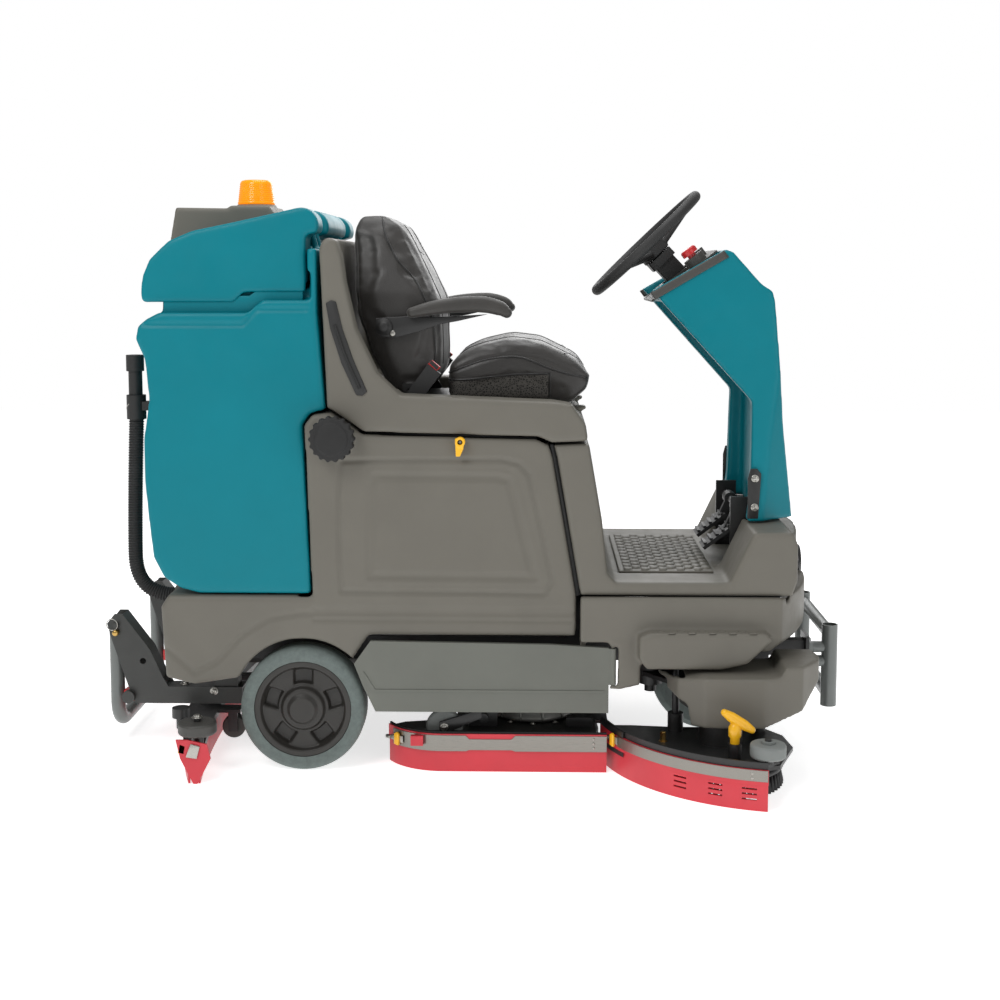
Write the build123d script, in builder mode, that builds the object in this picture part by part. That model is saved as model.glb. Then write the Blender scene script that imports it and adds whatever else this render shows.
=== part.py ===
"""Ride-on floor scrubber, modelled in millimetres.

Working frame of this script: X forward from the rear axle, Y to the left of the machine's middle
plane, Z up from the floor. On export every piece is shifted so that the origin of the files lies on
the floor, under the middle of the machine's bounding box.
"""

import os
from math import atan2, cos, degrees, radians, sin

from build123d import *

os.makedirs("parts", exist_ok=True)

# ---------------------------------------------------------------- driving dimensions
BODY_HALF = 385          # half width of the upper body panels
FENDER_HALF = 400        # half width over the fenders and skirt doors
STEP_HALF = 440          # half width over the boarding steps
TANK_HALF = 380          # half width of the recovery tank
NECK_HALF = 336          # half width of the tank's neck, inside the lid
WALL = 12                # rotomoulded wall
REAR_END = -521          # rearmost point, the guard tube
FRONT_END = 1326         # foremost point, the bumper
RIGHT_END = -649         # outermost point on the right, the side brush squeegee
LEFT_END = 496           # outermost point on the left, the rear squeegee

WHEEL_R = 152            # rear wheels
WHEEL_W = 84
WHEEL_Y = 352            # middle of a rear wheel
AXLE_R = 15
RUNNING = 0.05           # radial running clearance
ARCH_R = 173             # wheel arch radius
FRONT_WHEEL_X = 1020
FRONT_WHEEL_R = 150
FRONT_WHEEL_W = 84

BRUSH_X = 557            # centres of the two main disc brushes
BRUSH_Y = 184
BRUSH_R = 174
SIDE_BRUSH_X = 1005      # centre of the side brush
SIDE_BRUSH_Y = -425
SIDE_BRUSH_R = 155
SWING_X = 850            # side brush swing pivot
SWING_Y = -262

LID_PIN_X, LID_PIN_Z, LID_PIN_R = 4, 1316, 5
WHEEL_TILT = 43.9        # slope of the steering wheel's plane
PANEL_TILT = 37.9        # slope of the instrument panel
HUB_X, HUB_Z = 847, 1280  # centre of the steering wheel's rim
TILT_X, TILT_Z = 937, 1186  # steering tilt pivot
BACK_PIVOT_X, BACK_PIVOT_Z = 255, 915
GUARD_X, GUARD_PIN_Z = -503, 296
GUARD_Y = 200            # the rear guard's two legs
SQUEEGEE_PIN_X, SQUEEGEE_PIN_Z = -96, 196
SWIVEL_X = -300          # squeegee's vertical pivot
ARM_PIVOT_X, ARM_PIVOT_Z = 192, 1073
DECK_HINGE_Y, DECK_HINGE_Z = 393, 836
PEDAL_X, PEDAL_Z = 1082, 606
BUMPER_X, BUMPER_Y = 1306, 190
CAP_X, CAP_Z, CAP_R = 83, 815, 50

MIDDLE = Vector((REAR_END + FRONT_END) / 2, (RIGHT_END + LEFT_END) / 2, 0)
ALL_PIECES = []


def xz(y):
    """Side-view sketch plane at width y; its normal points to the right-hand side (-Y)."""
    return Plane.XZ.offset(-y)


def save(piece, label):
    """Names a finished piece and writes it, shifted to the file origin."""
    piece.part.label = label
    placed = piece.part.moved(Location(-MIDDLE))
    placed.label = label
    export_step(placed, f"parts/{label}.step")


def side_panel(points, y_from, y_to, mode=Mode.ADD):
    """Adds a side-view outline (x, z), extruded between two widths, to the current piece."""
    with BuildSketch(Plane.XZ.offset(-y_to)) as outline:
        with BuildLine():
            Polyline(*points, close=True)
        make_face()
    extrude(outline.sketch, amount=y_to - y_from, mode=mode)


def plan_slab(points, z_from, z_to, mode=Mode.ADD):
    """Adds a plan-view outline (x, y), extruded between two heights, to the current piece."""
    with BuildSketch(Plane.XY.offset(z_from)) as outline:
        with BuildLine():
            Polyline(*points, close=True)
        make_face()
    extrude(outline.sketch, amount=z_to - z_from, mode=mode)


def arc_slab(plane, start, middle, end, width, height, mode=Mode.ADD):
    """Adds a strip that follows a three-point arc on a plane, width across and height along its normal."""
    with BuildSketch(plane) as strip:
        with BuildLine() as spine:
            ThreePointArc(start, middle, end)
        trace(spine.line, line_width=width)
    extrude(strip.sketch, amount=height, mode=mode)


def side_edges(piece, y, tolerance=1.0):
    """The edges of a piece that lie in its two outer side faces at plus and minus y."""
    return piece.edges().filter_by(lambda e: abs(abs(e.center().Y) - y) < tolerance
                                   and abs(e.bounding_box().size.Y) < tolerance)


def round_sides(piece, y, *radii):
    """Rounds the side edges with the largest of the given radii that the shape can take."""
    for radius in radii:
        try:
            fillet(side_edges(piece, y), radius=radius)
            return
        except ValueError:
            continue


def block(x0, x1, y0, y1, z0, z1, mode=Mode.ADD):
    """Adds or cuts an upright box given by its limits."""
    with Locations(((x0 + x1) / 2, (y0 + y1) / 2, (z0 + z1) / 2)):
        Box(x1 - x0, y1 - y0, z1 - z0, mode=mode)


def pin_y(x, z, y0, y1, radius, mode=Mode.ADD):
    """Adds or cuts a cylinder running along Y."""
    with Locations(Location((x, (y0 + y1) / 2, z), (90, 0, 0))):
        Cylinder(radius, y1 - y0, mode=mode)


def pin_x(y, z, x0, x1, radius, mode=Mode.ADD):
    """Adds or cuts a cylinder running along X."""
    with Locations(Location(((x0 + x1) / 2, y, z), (0, 90, 0))):
        Cylinder(radius, x1 - x0, mode=mode)


def pin_z(x, y, z0, z1, radius, mode=Mode.ADD):
    """Adds or cuts an upright cylinder."""
    with Locations((x, y, (z0 + z1) / 2)):
        Cylinder(radius, z1 - z0, mode=mode)


def tilted_plane(x, z, slope, y=0):
    """Plane whose local x runs up the slope (in XZ), local y runs to the left, normal up and back."""
    up_slope = (cos(radians(slope)), 0, sin(radians(slope)))
    normal = (-sin(radians(slope)), 0, cos(radians(slope)))
    return Plane(origin=(x, y, z), x_dir=up_slope, z_dir=normal)


# ================================================================ chassis
with BuildPart() as main_frame:
    for side in (-1, 1):
        # rails beside the steered wheel's swing, and their rear axle brackets
        block(-300, 1150, side * 190 - 25, side * 190 + 25, 232, 292)
        block(-44, 44, side * 190 - 25, side * 190 + 25, 118, 234)
    block(-292, -232, -190, 190, 236, 288)
    block(120, 170, -190, 190, 236, 288)
    block(270, 330, -190, 190, 236, 288)
    block(SWING_X - 30, SWING_X + 30, -190, 190, 240, 284)
    # steering head
    block(900, 1150, -190, 190, 334, 348)
    for side in (-1, 1):
        block(900, 1150, side * 190 - 8, side * 190 + 8, 290, 336)
    pin_z(FRONT_WHEEL_X, 0, 334, 392, 52)
    pin_z(FRONT_WHEEL_X, 0, 330, 400, 30 + RUNNING, mode=Mode.SUBTRACT)
    # rear axle
    pin_y(0, WHEEL_R, -398, 398, AXLE_R)
    # squeegee arm pivot lugs
    for side in (-1, 1):
        block(-120, -72, side * 132 - 7, side * 132 + 7, 172, 262)
    block(-120, -72, -165, 165, 240, 262)
    pin_y(SQUEEGEE_PIN_X, SQUEEGEE_PIN_Z, -139, 139, 9)
    # scrub deck lift: outer tube of the actuator and two guide posts
    pin_z(BRUSH_X, 0, 186, 290, 26)
    block(BRUSH_X - 30, BRUSH_X + 30, -190, 190, 250, 290)
    pin_z(BRUSH_X, 0, 180, 284, 12 + RUNNING, mode=Mode.SUBTRACT)
    for x in (BRUSH_X - 215, BRUSH_X + 160):
        block(x - 22, x + 22, -190, 190, 244, 284)
        pin_z(x, 0, 112, 250, 11)
    # side brush swing pivot
    block(SWING_X - 34, SWING_X + 34, SWING_Y - 34, -186, 244, 284)
    pin_z(SWING_X, SWING_Y, 170, 262, 15)
    # pedal bracket, carried up from the steering head
    for y in (-150, 150):
        block(1056, 1110, y - 4, y + 4, 346, 640)
    pin_y(PEDAL_X, PEDAL_Z, -154, 154, 9)
    # bumper horns
    for side in (-1, 1):
        block(1146, 1240, side * BUMPER_Y - 17, side * BUMPER_Y + 17, 246, 284)
        block(1240, 1248, side * BUMPER_Y - 40, side * BUMPER_Y + 40, 206, 300)
save(main_frame, "main_frame")

# battery box, rear solution tank and wheel arches in one moulding
LOWER = [(-343, 400), (-324, 430), (24, 430), (10, 842), (30, 868), (74, 873), (150, 821), (566, 810),
         (594, 796), (603, 768), (661, 430), (661, 334), (163, 334), (120, 270), (-264, 209), (-334, 226)]
with BuildPart() as lower_body:
    side_panel(LOWER, -BODY_HALF, BODY_HALF)
    round_sides(lower_body, BODY_HALF, 12, 6, 4)
    # wheel arches and the tunnel that takes the frame
    for side in (-1, 1):
        pin_y(0, WHEEL_R, side * 345 - 55, side * 345 + 55, ARCH_R, mode=Mode.SUBTRACT)
    block(-360, 680, -290, 290, 180, 300, mode=Mode.SUBTRACT)
    block(110, 680, -372, 372, 250, 345, mode=Mode.SUBTRACT)
    # solution tank: behind the arches and up the right-hand side to the filler
    block(-312, 20, -372, 372, 340, 418, mode=Mode.SUBTRACT)
    block(-10, 128, -372, -250, 340, 800, mode=Mode.SUBTRACT)
    # battery compartment, open at the top
    side_panel([(140, 360), (648, 360), (590, 768), (580, 830), (140, 840)], -366, 366, mode=Mode.SUBTRACT)
    # filler neck
    pin_y(CAP_X, CAP_Z, -404, -372, 46)
    pin_y(CAP_X, CAP_Z, -420, -378, 36)
    pin_y(CAP_X, CAP_Z, -430, -340, 30, mode=Mode.SUBTRACT)
    # panel relief on both sides, with the step line under it
    for side in (-1, 1):
        y = side * (BODY_HALF - 3)
        with BuildSketch(Plane.XZ.offset(-side * BODY_HALF)):
            with BuildLine():
                Polyline((150, 452), (158, 748), (500, 744), (530, 712), (600, 468), (590, 452), (150, 452))
            make_face()
            with BuildLine():
                Polyline((158, 460), (166, 740), (495, 736), (522, 708), (591, 470), (585, 460), (158, 460))
            make_face(mode=Mode.SUBTRACT)
        extrude(amount=3, both=True, mode=Mode.SUBTRACT)
    # drain hose outlet
    pin_x(-200, 392, -349.6, -300, 25)
    # latch pin and hinge lugs for the seat deck
    pin_y(384, 806, -412, -380, 6)
    for x in (200, 520):
        block(x - 30, x + 30, 376, 399, 762, 800)
        block(x - 30, x + 30, 387, 399, 790, DECK_HINGE_Z + 5)
        pin_x(DECK_HINGE_Y, DECK_HINGE_Z, x - 54, x + 54, 5)
save(lower_body, "lower_body")

FLOOR_Z = 466            # operator's platform
LAMP_Z, LAMP_R = 446, 48
with BuildPart() as front_body:
    side_panel([(614, 768), (606, 796), (690, 800), (722, 617), (736, 486), (756, FLOOR_Z), (1027, FLOOR_Z),
                (1085, 588), (1178, 588), (1190, 557), (1190, 470), (1178, 434), (671, 434)],
               -BODY_HALF, BODY_HALF)
    round_sides(front_body, BODY_HALF, 10, 5, 4)
    # bowed nose
    with BuildSketch(Plane.XY.offset(434)):
        with BuildLine():
            Line((1150, -372), (1150, 372))
            ThreePointArc((1150, 372), (1238, 0), (1150, -372))
        make_face()
    extrude(amount=122)
    # hollow from below: steering head, pedal space
    block(668, 1172, -370, 370, 420, 448, mode=Mode.SUBTRACT)
    side_panel([(684, 440), (722, 440), (722, 470), (708, 600), (680, 786), (628, 786)],
               -372, 372, mode=Mode.SUBTRACT)
    block(1094, 1176, -190, 190, 440, 600, mode=Mode.SUBTRACT)
    # pocket for the pedals and their bracket
    block(1012, 1130, -162, 162, FLOOR_Z - 1, 600, mode=Mode.SUBTRACT)
    for y in (-150, 150):
        block(1050, 1116, y - 8, y + 8, 430, 600, mode=Mode.SUBTRACT)
    # platform recess for the mat
    block(764, 1010, -262, 262, FLOOR_Z - 4, FLOOR_Z + 10, mode=Mode.SUBTRACT)
    pin_x(0, LAMP_Z, 1214, 1300, LAMP_R + 0.6, mode=Mode.SUBTRACT)
save(front_body, "front_body")

with BuildPart() as front_fender:
    with BuildSketch(Plane.XY.offset(302)):
        with BuildLine():
            Polyline((671, 398), (671, -398), (1150, -398))
            ThreePointArc((1150, -398), (1262, 0), (1150, 398))
            Line((1150, 398), (671, 398))
        make_face()
    extrude(amount=130)
    chamfer(front_fender.faces().sort_by(Axis.Z)[0].edges().filter_by(GeomType.CIRCLE), length=26)
    # boarding steps with their tread
    for side in (-1, 1):
        inner, outer = sorted((side * 380, side * STEP_HALF))
        side_panel([(809, 345), (836, 356), (1108, 356), (1125, 340), (1066, 282), (1004, 268), (828, 268),
                    (809, 290)], inner, outer)
        side_panel([(762, 330), (820, 330), (814, 219), (762, 207)], *sorted((side * 366, side * 398)))
    fillet(front_fender.edges().filter_by(lambda e: abs(abs(e.center().Y) - STEP_HALF) < 1), radius=8)
    # hollow from below, down to the shell
    with BuildSketch(Plane.XY.offset(255)):
        with BuildLine():
            Polyline((684, 384), (684, -384), (1140, -384))
            ThreePointArc((1140, -384), (1246, 0), (1140, 384))
            Line((1140, 384), (684, 384))
        make_face()
    extrude(amount=168, mode=Mode.SUBTRACT)
    block(671, 1176, -372, 372, 418, 440, mode=Mode.SUBTRACT)
    for side in (-1, 1):
        block(1230, 1280, side * BUMPER_Y - 44, side * BUMPER_Y + 44, 290, 304, mode=Mode.SUBTRACT)
        block(1180, 1280, side * BUMPER_Y - 44, side * BUMPER_Y + 44, 240, 306, mode=Mode.SUBTRACT)
        # clearance over the skirt door, its hinge lugs and pin
        block(660, 763, *sorted((side * 382, side * 402)), 290, 322, mode=Mode.SUBTRACT)
        block(742, 768, *sorted((side * 388, side * 400)), 314, 326)
        block(742, 768, *sorted((side * 388, side * 400)), 209, 216)
        pin_z(750, side * 394, 210, 320, 4)
    pin_x(0, LAMP_Z, 1214, 1300, LAMP_R + 0.6, mode=Mode.SUBTRACT)
save(front_fender, "front_fender")

TANK = [(22, 434), (6, 846), (26, 872), (62, 880), (44, 1110), (44, 1262), (22, 1262), (22, 1166),
        (-140, 1166), (-163, 1143), (-326, 1143), (-330, 1112), (-363, 1095), (-384, 1078), (-390, 1047),
        (-369, 999), (-361, 905), (-368, 855), (-376, 807), (-376, 708), (-368, 610), (-359, 521),
        (-334, 471), (-295, 446), (-250, 434)]
with BuildPart() as recovery_tank:
    side_panel(TANK, -TANK_HALF, TANK_HALF)
    round_sides(recovery_tank, TANK_HALF, 16, 8, 4)
    # inside, open at the top
    side_panel([(8, 450), (-8, 846), (14, 884), (46, 893), (30, 1110), (10, 1160), (10, 1190), (-320, 1190),
                (-316, 1100), (-352, 1066), (-374, 1047), (-355, 999), (-346, 905), (-362, 800), (-360, 708),
                (-344, 521), (-322, 480), (-290, 462), (-250, 450)], -TANK_HALF + WALL, TANK_HALF - WALL,
               mode=Mode.SUBTRACT)
    # neck under the lid, narrower than the stepped shoulders, with a ledge between them
    for side in (-1, 1):
        side_panel([(-400, 1110), (-120, 1110), (-86, 1140), (30, 1140), (30, 1210), (-400, 1210)],
                   *sorted((side * NECK_HALF, side * 400)), mode=Mode.SUBTRACT)
        side_panel([(-334, 1098), (-116, 1098), (-82, 1128), (20, 1128), (20, 1140), (-86, 1140),
                    (-120, 1110), (-334, 1110)], *sorted((side * (NECK_HALF - WALL), side * 372)))
        side_panel([(-334, 1100), (20, 1100), (20, 1166), (-140, 1166), (-163, 1143), (-334, 1143)],
                   *sorted((side * (NECK_HALF - WALL), side * NECK_HALF)))
    # hinge lugs and their pin
    for side in (-1, 1):
        for y in (side * 190, side * 250):
            side_panel([(22, 1240), (40, 1240), (16, 1330), (-10, 1330), (-12, 1306), (12, 1290)],
                       y - 8, y + 8)
        pin_y(LID_PIN_X, LID_PIN_Z, side * 220 - 40, side * 220 + 40, LID_PIN_R)
save(recovery_tank, "recovery_tank")

LID = [(-376, 1134), (-381, 1152), (-376, 1196), (-358, 1236), (-312, 1280), (-255, 1304), (-157, 1324),
       (-47, 1348), (4, 1359.5)]
with BuildPart() as tank_lid:
    with BuildSketch(Plane.XZ.offset(-358)):
        with BuildLine():
            Polyline((16, 1158), (-134, 1158), (-158, 1134), *LID)
            ThreePointArc((4, 1359.5), (34.8, 1346.8), (47.5, 1316))
            Polyline((47.5, 1316), (44, 1300), (16, 1294), (16, 1158))
        make_face()
    extrude(amount=716)
    round_sides(tank_lid, 358, 18, 9, 4)
    # underside
    side_panel([(4, 1120), (4, 1260), (-20, 1300), (-50, 1324), (-157, 1306), (-250, 1286), (-304, 1262),
                (-344, 1224), (-362, 1180), (-362, 1120)], -342, 342, mode=Mode.SUBTRACT)
    block(2, 20, -342, 342, 1150, 1178, mode=Mode.SUBTRACT)
    # hinge pockets and knuckles
    for side in (-1, 1):
        block(-26, 60, side * 220 - 44, side * 220 + 44, 1270, 1370, mode=Mode.SUBTRACT)
        block(-40, 8, side * 220 - 18, side * 220 + 18, 1306, 1328)
        pin_y(LID_PIN_X, LID_PIN_Z, side * 220 - 18, side * 220 + 18, 14)
        pin_y(LID_PIN_X, LID_PIN_Z, side * 220 - 50, side * 220 + 50, LID_PIN_R + RUNNING, mode=Mode.SUBTRACT)
save(tank_lid, "tank_lid")

HOOD = [(-368, 1282), (-352, 1369), (-220, 1367), (-212, 1374), (-115, 1374), (-98, 1352), (-104, 1338),
        (-157, 1325.6), (-255, 1305.6), (-312, 1281.6), (-334, 1262)]
with BuildPart() as fan_housing:
    side_panel(HOOD, -110, 110)
    round_sides(fan_housing, 110, 16, 8, 4)
    # hollow, open at the slanted rear end
    side_panel([(-420, 1300), (-400, 1355), (-200, 1354), (-150, 1350), (-158, 1338), (-258, 1318), (-312, 1294),
                (-345, 1278)], -96, 96, mode=Mode.SUBTRACT)
    for z in (1304, 1322, 1340):
        block(-354, -346, -97, 97, z - 3, z + 3)
    pin_z(-165, 0, 1372, 1380, 52)
save(fan_housing, "fan_housing")

with BuildPart() as beacon_lens:
    with BuildSketch(Plane.XZ):
        with BuildLine():
            Polyline((0, 1380.3), (48, 1380.3), (48, 1386), (44, 1390), (42, 1430), (36, 1441), (0, 1444),
                     close=True)
        make_face()
    revolve(axis=Axis.Z)
    with BuildSketch(Plane.XY.offset(1380)):
        Circle(39)
    extrude(amount=54, mode=Mode.SUBTRACT)
    pin_z(0, 0, 1380.3, 1384, 46)
    pin_z(0, 0, 1383, 1424, 14)
beacon_lens.part.position = Vector(-165, 0, 0)
save(beacon_lens, "beacon_lens")

# drain hose, from its outlet low on the rear face up to its clip on the tank
HOSE_Y, HOSE_R, HOSE_BEND = -200, 19, 95
HOSE_RUN = [(-350, HOSE_Y, 392), (-449, HOSE_Y, 392), (-449, HOSE_Y, 600), (-438, HOSE_Y, 850)]
with BuildPart() as drain_hose:
    with BuildLine() as run:
        FilletPolyline(*HOSE_RUN, radius=HOSE_BEND)
    with BuildSketch(Plane(origin=HOSE_RUN[0], z_dir=(-1, 0, 0))):
        Circle(HOSE_R)
        Circle(HOSE_R - 4.5, mode=Mode.SUBTRACT)
    sweep(path=run.line)
save(drain_hose, "drain_hose")

with BuildPart() as hose_fittings:
    # cuff, plug, clip and strap
    pin_z(-438, HOSE_Y, 840, 900, 24)
    pin_z(-439, HOSE_Y, 900, 960, 17)
    pin_z(-439, HOSE_Y, 960, 1000, 22)
    block(-424, -370, HOSE_Y - 16, HOSE_Y + 16, 862, 884)
    block(-376, -368.4, HOSE_Y - 40, HOSE_Y + 40, 858, 902)
    pin_z(-438.4, HOSE_Y, 830, 852, 20.4, mode=Mode.SUBTRACT)
save(hose_fittings, "hose_fittings")

# ---------------------------------------------------------------- steering column
COLUMN = [(852, 1160), (884, 1123), (1097, 888), (1093, 653), (1086, 592), (1208, 592), (1178, 824),
          (1155, 1131), (1150, 1158), (1122, 1176), (1053, 1255), (1033, 1263)]
with BuildPart() as column_cover:
    side_panel(COLUMN, -262, 262)
    # taper seen from the front
    with BuildSketch(Plane.YZ.offset(800)):
        with BuildLine():
            Polyline((-250, 592), (-236, 800), (-196, 1120), (-180, 1200), (-170, 1270), (170, 1270),
                     (180, 1200), (196, 1120), (236, 800), (250, 592), (-250, 592))
        make_face()
    extrude(amount=460, mode=Mode.INTERSECT)
    # chamfered front corners
    for side in (-1, 1):
        plan_slab([(1110, side * 262), (1240, side * 262), (1240, side * 150)], 580, 1280,
                  mode=Mode.SUBTRACT)
    # recess between the cheeks, open to the rear
    with BuildSketch(Plane.YZ.offset(840)):
        with BuildLine():
            Polyline((-205, 560), (-196, 800), (-160, 1100), (-150, 1130), (150, 1130), (160, 1100),
                     (196, 800), (205, 560), (-205, 560))
        make_face()
    extrude(amount=292, mode=Mode.SUBTRACT)
    # hollow head and seat of the instrument panel
    side_panel([(892, 1140), (906, 1124), (1120, 1132), (1120, 1164), (1044, 1238), (1012, 1280), (870, 1200)],
               -148, 148, mode=Mode.SUBTRACT)
    side_panel([(838, 1115), (1017, 1254), (980, 1300), (790, 1160)], -150, 150, mode=Mode.SUBTRACT)
save(column_cover, "column_cover")

PANEL = tilted_plane(933, 1198, PANEL_TILT)
with BuildPart() as instrument_panel:
    with BuildSketch(PANEL):
        RectangleRounded(206, 292, 14)
        with Locations((4, 0)):
            RectangleRounded(96, 96, 10, mode=Mode.SUBTRACT)
    extrude(amount=-5)
    # raised surround, switch pads and slots
    with BuildSketch(PANEL):
        with Locations((4, 0)):
            RectangleRounded(118, 118, 14)
            RectangleRounded(98, 98, 11, mode=Mode.SUBTRACT)
    extrude(amount=7)
    with BuildSketch(PANEL):
        with Locations((-50, 105), (-16, 105), (18, 105), (-50, -105), (-16, -105)):
            RectangleRounded(24, 40, 4)
    extrude(amount=3)
    with BuildSketch(PANEL):
        with Locations((60, 105)):
            RectangleRounded(56, 64, 5)
    extrude(amount=4)
    with BuildSketch(PANEL):
        with Locations((-82, 100), (-82, 90), (-82, 80), (-82, -80), (-82, -90), (-82, -100)):
            RectangleRounded(30, 4, 1.9)
    extrude(amount=-8, mode=Mode.SUBTRACT)
    # stop button guard and its bore, key switch
    with BuildSketch(PANEL):
        with Locations((48, -110)):
            Circle(27)
    extrude(amount=22)
    with BuildSketch(PANEL):
        with Locations((48, -110)):
            Circle(11 + RUNNING)
    extrude(amount=30, both=True, mode=Mode.SUBTRACT)
    with BuildSketch(PANEL):
        with Locations((82, 30)):
            Circle(12)
    extrude(amount=20)
    # lugs that hold the tilting yoke
    for side in (-1, 1):
        side_panel([(914, 1174), (962, 1210), (962, 1176), (944, 1166), (926, 1166)],
                   *sorted((side * 49, side * 60)))
        pin_y(TILT_X, TILT_Z, *sorted((side * 48.5, side * 61)), 6 + RUNNING, mode=Mode.SUBTRACT)
save(instrument_panel, "instrument_panel")

with BuildPart() as stop_button:
    with BuildSketch(PANEL.offset(30)):
        with Locations((48, -110)):
            Circle(21)
    extrude(amount=16)
    fillet(stop_button.edges().filter_by(GeomType.CIRCLE).sort_by(Axis.Z)[-1], radius=6)
    with BuildSketch(PANEL.offset(-12)):
        with Locations((48, -110)):
            Circle(11)
    extrude(amount=43)
save(stop_button, "stop_button")

COLUMN_AXIS = tilted_plane(HUB_X, HUB_Z, WHEEL_TILT)      # normal runs up the steering shaft
with BuildPart() as tilt_yoke:
    with BuildSketch(COLUMN_AXIS.offset(-116)):
        RectangleRounded(58, 72, 8)
    extrude(amount=50)
    with BuildSketch(COLUMN_AXIS.offset(-68)):
        RectangleRounded(72, 86, 10)
    extrude(amount=22)
    with BuildSketch(COLUMN_AXIS.offset(-160)):
        RectangleRounded(40, 80, 6)
    extrude(amount=46)
    pin_y(TILT_X, TILT_Z, -60, 60, 6)
    with BuildSketch(COLUMN_AXIS.offset(-140)):
        Circle(11 + RUNNING)
    extrude(amount=120, mode=Mode.SUBTRACT)
save(tilt_yoke, "tilt_yoke")

WHEEL_RIM_R = 174
with BuildPart() as steering_wheel:
    with BuildSketch(Plane(origin=COLUMN_AXIS.origin, x_dir=COLUMN_AXIS.x_dir,
                           z_dir=COLUMN_AXIS.y_dir)):
        with Locations((WHEEL_RIM_R, 0)):
            Circle(13.5)
    revolve(axis=Axis(COLUMN_AXIS.origin, COLUMN_AXIS.z_dir))
    for turn in (0, 120, 240):
        out_x, out_y = cos(radians(turn)), sin(radians(turn))
        start = COLUMN_AXIS.from_local_coords((out_x * 20, out_y * 20, -34))
        end = COLUMN_AXIS.from_local_coords((out_x * WHEEL_RIM_R, out_y * WHEEL_RIM_R, 0))
        with BuildSketch(Plane(origin=start, z_dir=end - start, x_dir=COLUMN_AXIS.z_dir)):
            RectangleRounded(15, 30, 6)
        extrude(amount=(end - start).length)
    with BuildSketch(COLUMN_AXIS.offset(-44)):
        Circle(40)
    extrude(amount=34)
    with BuildSketch(COLUMN_AXIS.offset(-130)):
        Circle(11)
    extrude(amount=90)
    with BuildSketch(COLUMN_AXIS.offset(-26)):
        Circle(24)
    extrude(amount=30, mode=Mode.SUBTRACT)
save(steering_wheel, "steering_wheel")

with BuildPart() as horn_button:
    with BuildSketch(COLUMN_AXIS.offset(-18)):
        Circle(23.4)
    extrude(amount=14)
    fillet(horn_button.edges().filter_by(GeomType.CIRCLE).sort_by(Axis.Z)[-1], radius=3)
save(horn_button, "horn_button")

# ---------------------------------------------------------------- pedals
for label, y, points in (
        ("accelerator_pedal", -88, [(990, 505), (996, 499), (1072, 556), (1066, 563)]),
        ("brake_pedal", 62, [(990, 511), (996, 505), (1072, 562), (1066, 569)])):
    with BuildPart() as pedal:
        side_panel(points, y - 40, y + 40)
        for step in range(5):
            x = 998 + step * 15
            z = points[3][1] - (1066 - x) * 0.75 + 3
            block(x - 4, x + 4, y - 34, y + 34, z - 3, z + 2)
        side_panel([(1040, 532), (1052, 522), (PEDAL_X + 10, PEDAL_Z), (PEDAL_X - 10, PEDAL_Z)], y - 10, y + 10)
        pin_y(PEDAL_X, PEDAL_Z, y - 26, y + 26, 17)
        pin_y(PEDAL_X, PEDAL_Z, y - 30, y + 30, 9 + RUNNING, mode=Mode.SUBTRACT)
    save(pedal, label)

# ---------------------------------------------------------------- wheels
def tyre_profile(radius, rim, width):
    """Half section of a solid tyre with rounded shoulders, centred on its middle plane."""
    half = width / 2
    return [(rim + 0.05, -half + 4), (radius - 16, -half), (radius - 4, -half + 9), (radius, -half + 16),
            (radius, half - 16), (radius - 4, half - 9), (radius - 16, half), (rim + 0.05, half - 4)]


for label, side in (("right", -1), ("left", 1)):
    y = side * WHEEL_Y
    with BuildPart() as tyre:
        with BuildSketch(Plane.XY):
            with BuildLine():
                Polyline(*[(r, w) for r, w in tyre_profile(WHEEL_R, 118, WHEEL_W)], close=True)
            make_face()
        revolve(axis=Axis.Y)
    tyre.part.position = Vector(0, y, WHEEL_R)
    save(tyre, f"rear_tyre_{label}")
    with BuildPart() as hub:
        pin_y(0, WHEEL_R, y - 38, y + 38, 118)
        pin_y(0, WHEEL_R, *sorted((y + side * 20, y + side * 50)), 104, mode=Mode.SUBTRACT)
        pin_y(0, WHEEL_R, *sorted((y - side * 24, y - side * 50)), 104, mode=Mode.SUBTRACT)
        pin_y(0, WHEEL_R, *sorted((y + side * 18, y + side * 44)), 48)
        pin_y(0, WHEEL_R, *sorted((y - side * 22, y - side * 40)), 40)
        for turn in range(5):
            angle = radians(90 + 72 * turn)
            pin_y(76 * cos(angle), WHEEL_R + 76 * sin(angle), *sorted((y + side * 4, y + side * 60)), 21,
                  mode=Mode.SUBTRACT)
        pin_y(0, WHEEL_R, y - 60, y + 60, AXLE_R + RUNNING, mode=Mode.SUBTRACT)
        pin_y(0, WHEEL_R, *sorted((y + side * 47, y + side * 50)), 30)
    save(hub, f"rear_hub_{label}")

with BuildPart() as front_tyre:
    with BuildSketch(Plane.XY):
        with BuildLine():
            Polyline(*tyre_profile(FRONT_WHEEL_R, 106, FRONT_WHEEL_W), close=True)
        make_face()
    revolve(axis=Axis.Y)
front_tyre.part.position = Vector(FRONT_WHEEL_X, 0, FRONT_WHEEL_R)
save(front_tyre, "front_tyre")

with BuildPart() as front_hub:
    pin_y(FRONT_WHEEL_X, FRONT_WHEEL_R, -38, 38, 106)
    for side in (-1, 1):
        pin_y(FRONT_WHEEL_X, FRONT_WHEEL_R, *sorted((side * 22, side * 50)), 92, mode=Mode.SUBTRACT)
        pin_y(FRONT_WHEEL_X, FRONT_WHEEL_R, *sorted((side * 20, side * 40)), 44)
    pin_y(FRONT_WHEEL_X, FRONT_WHEEL_R, -60, 60, 14 + RUNNING, mode=Mode.SUBTRACT)
save(front_hub, "front_hub")

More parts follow.
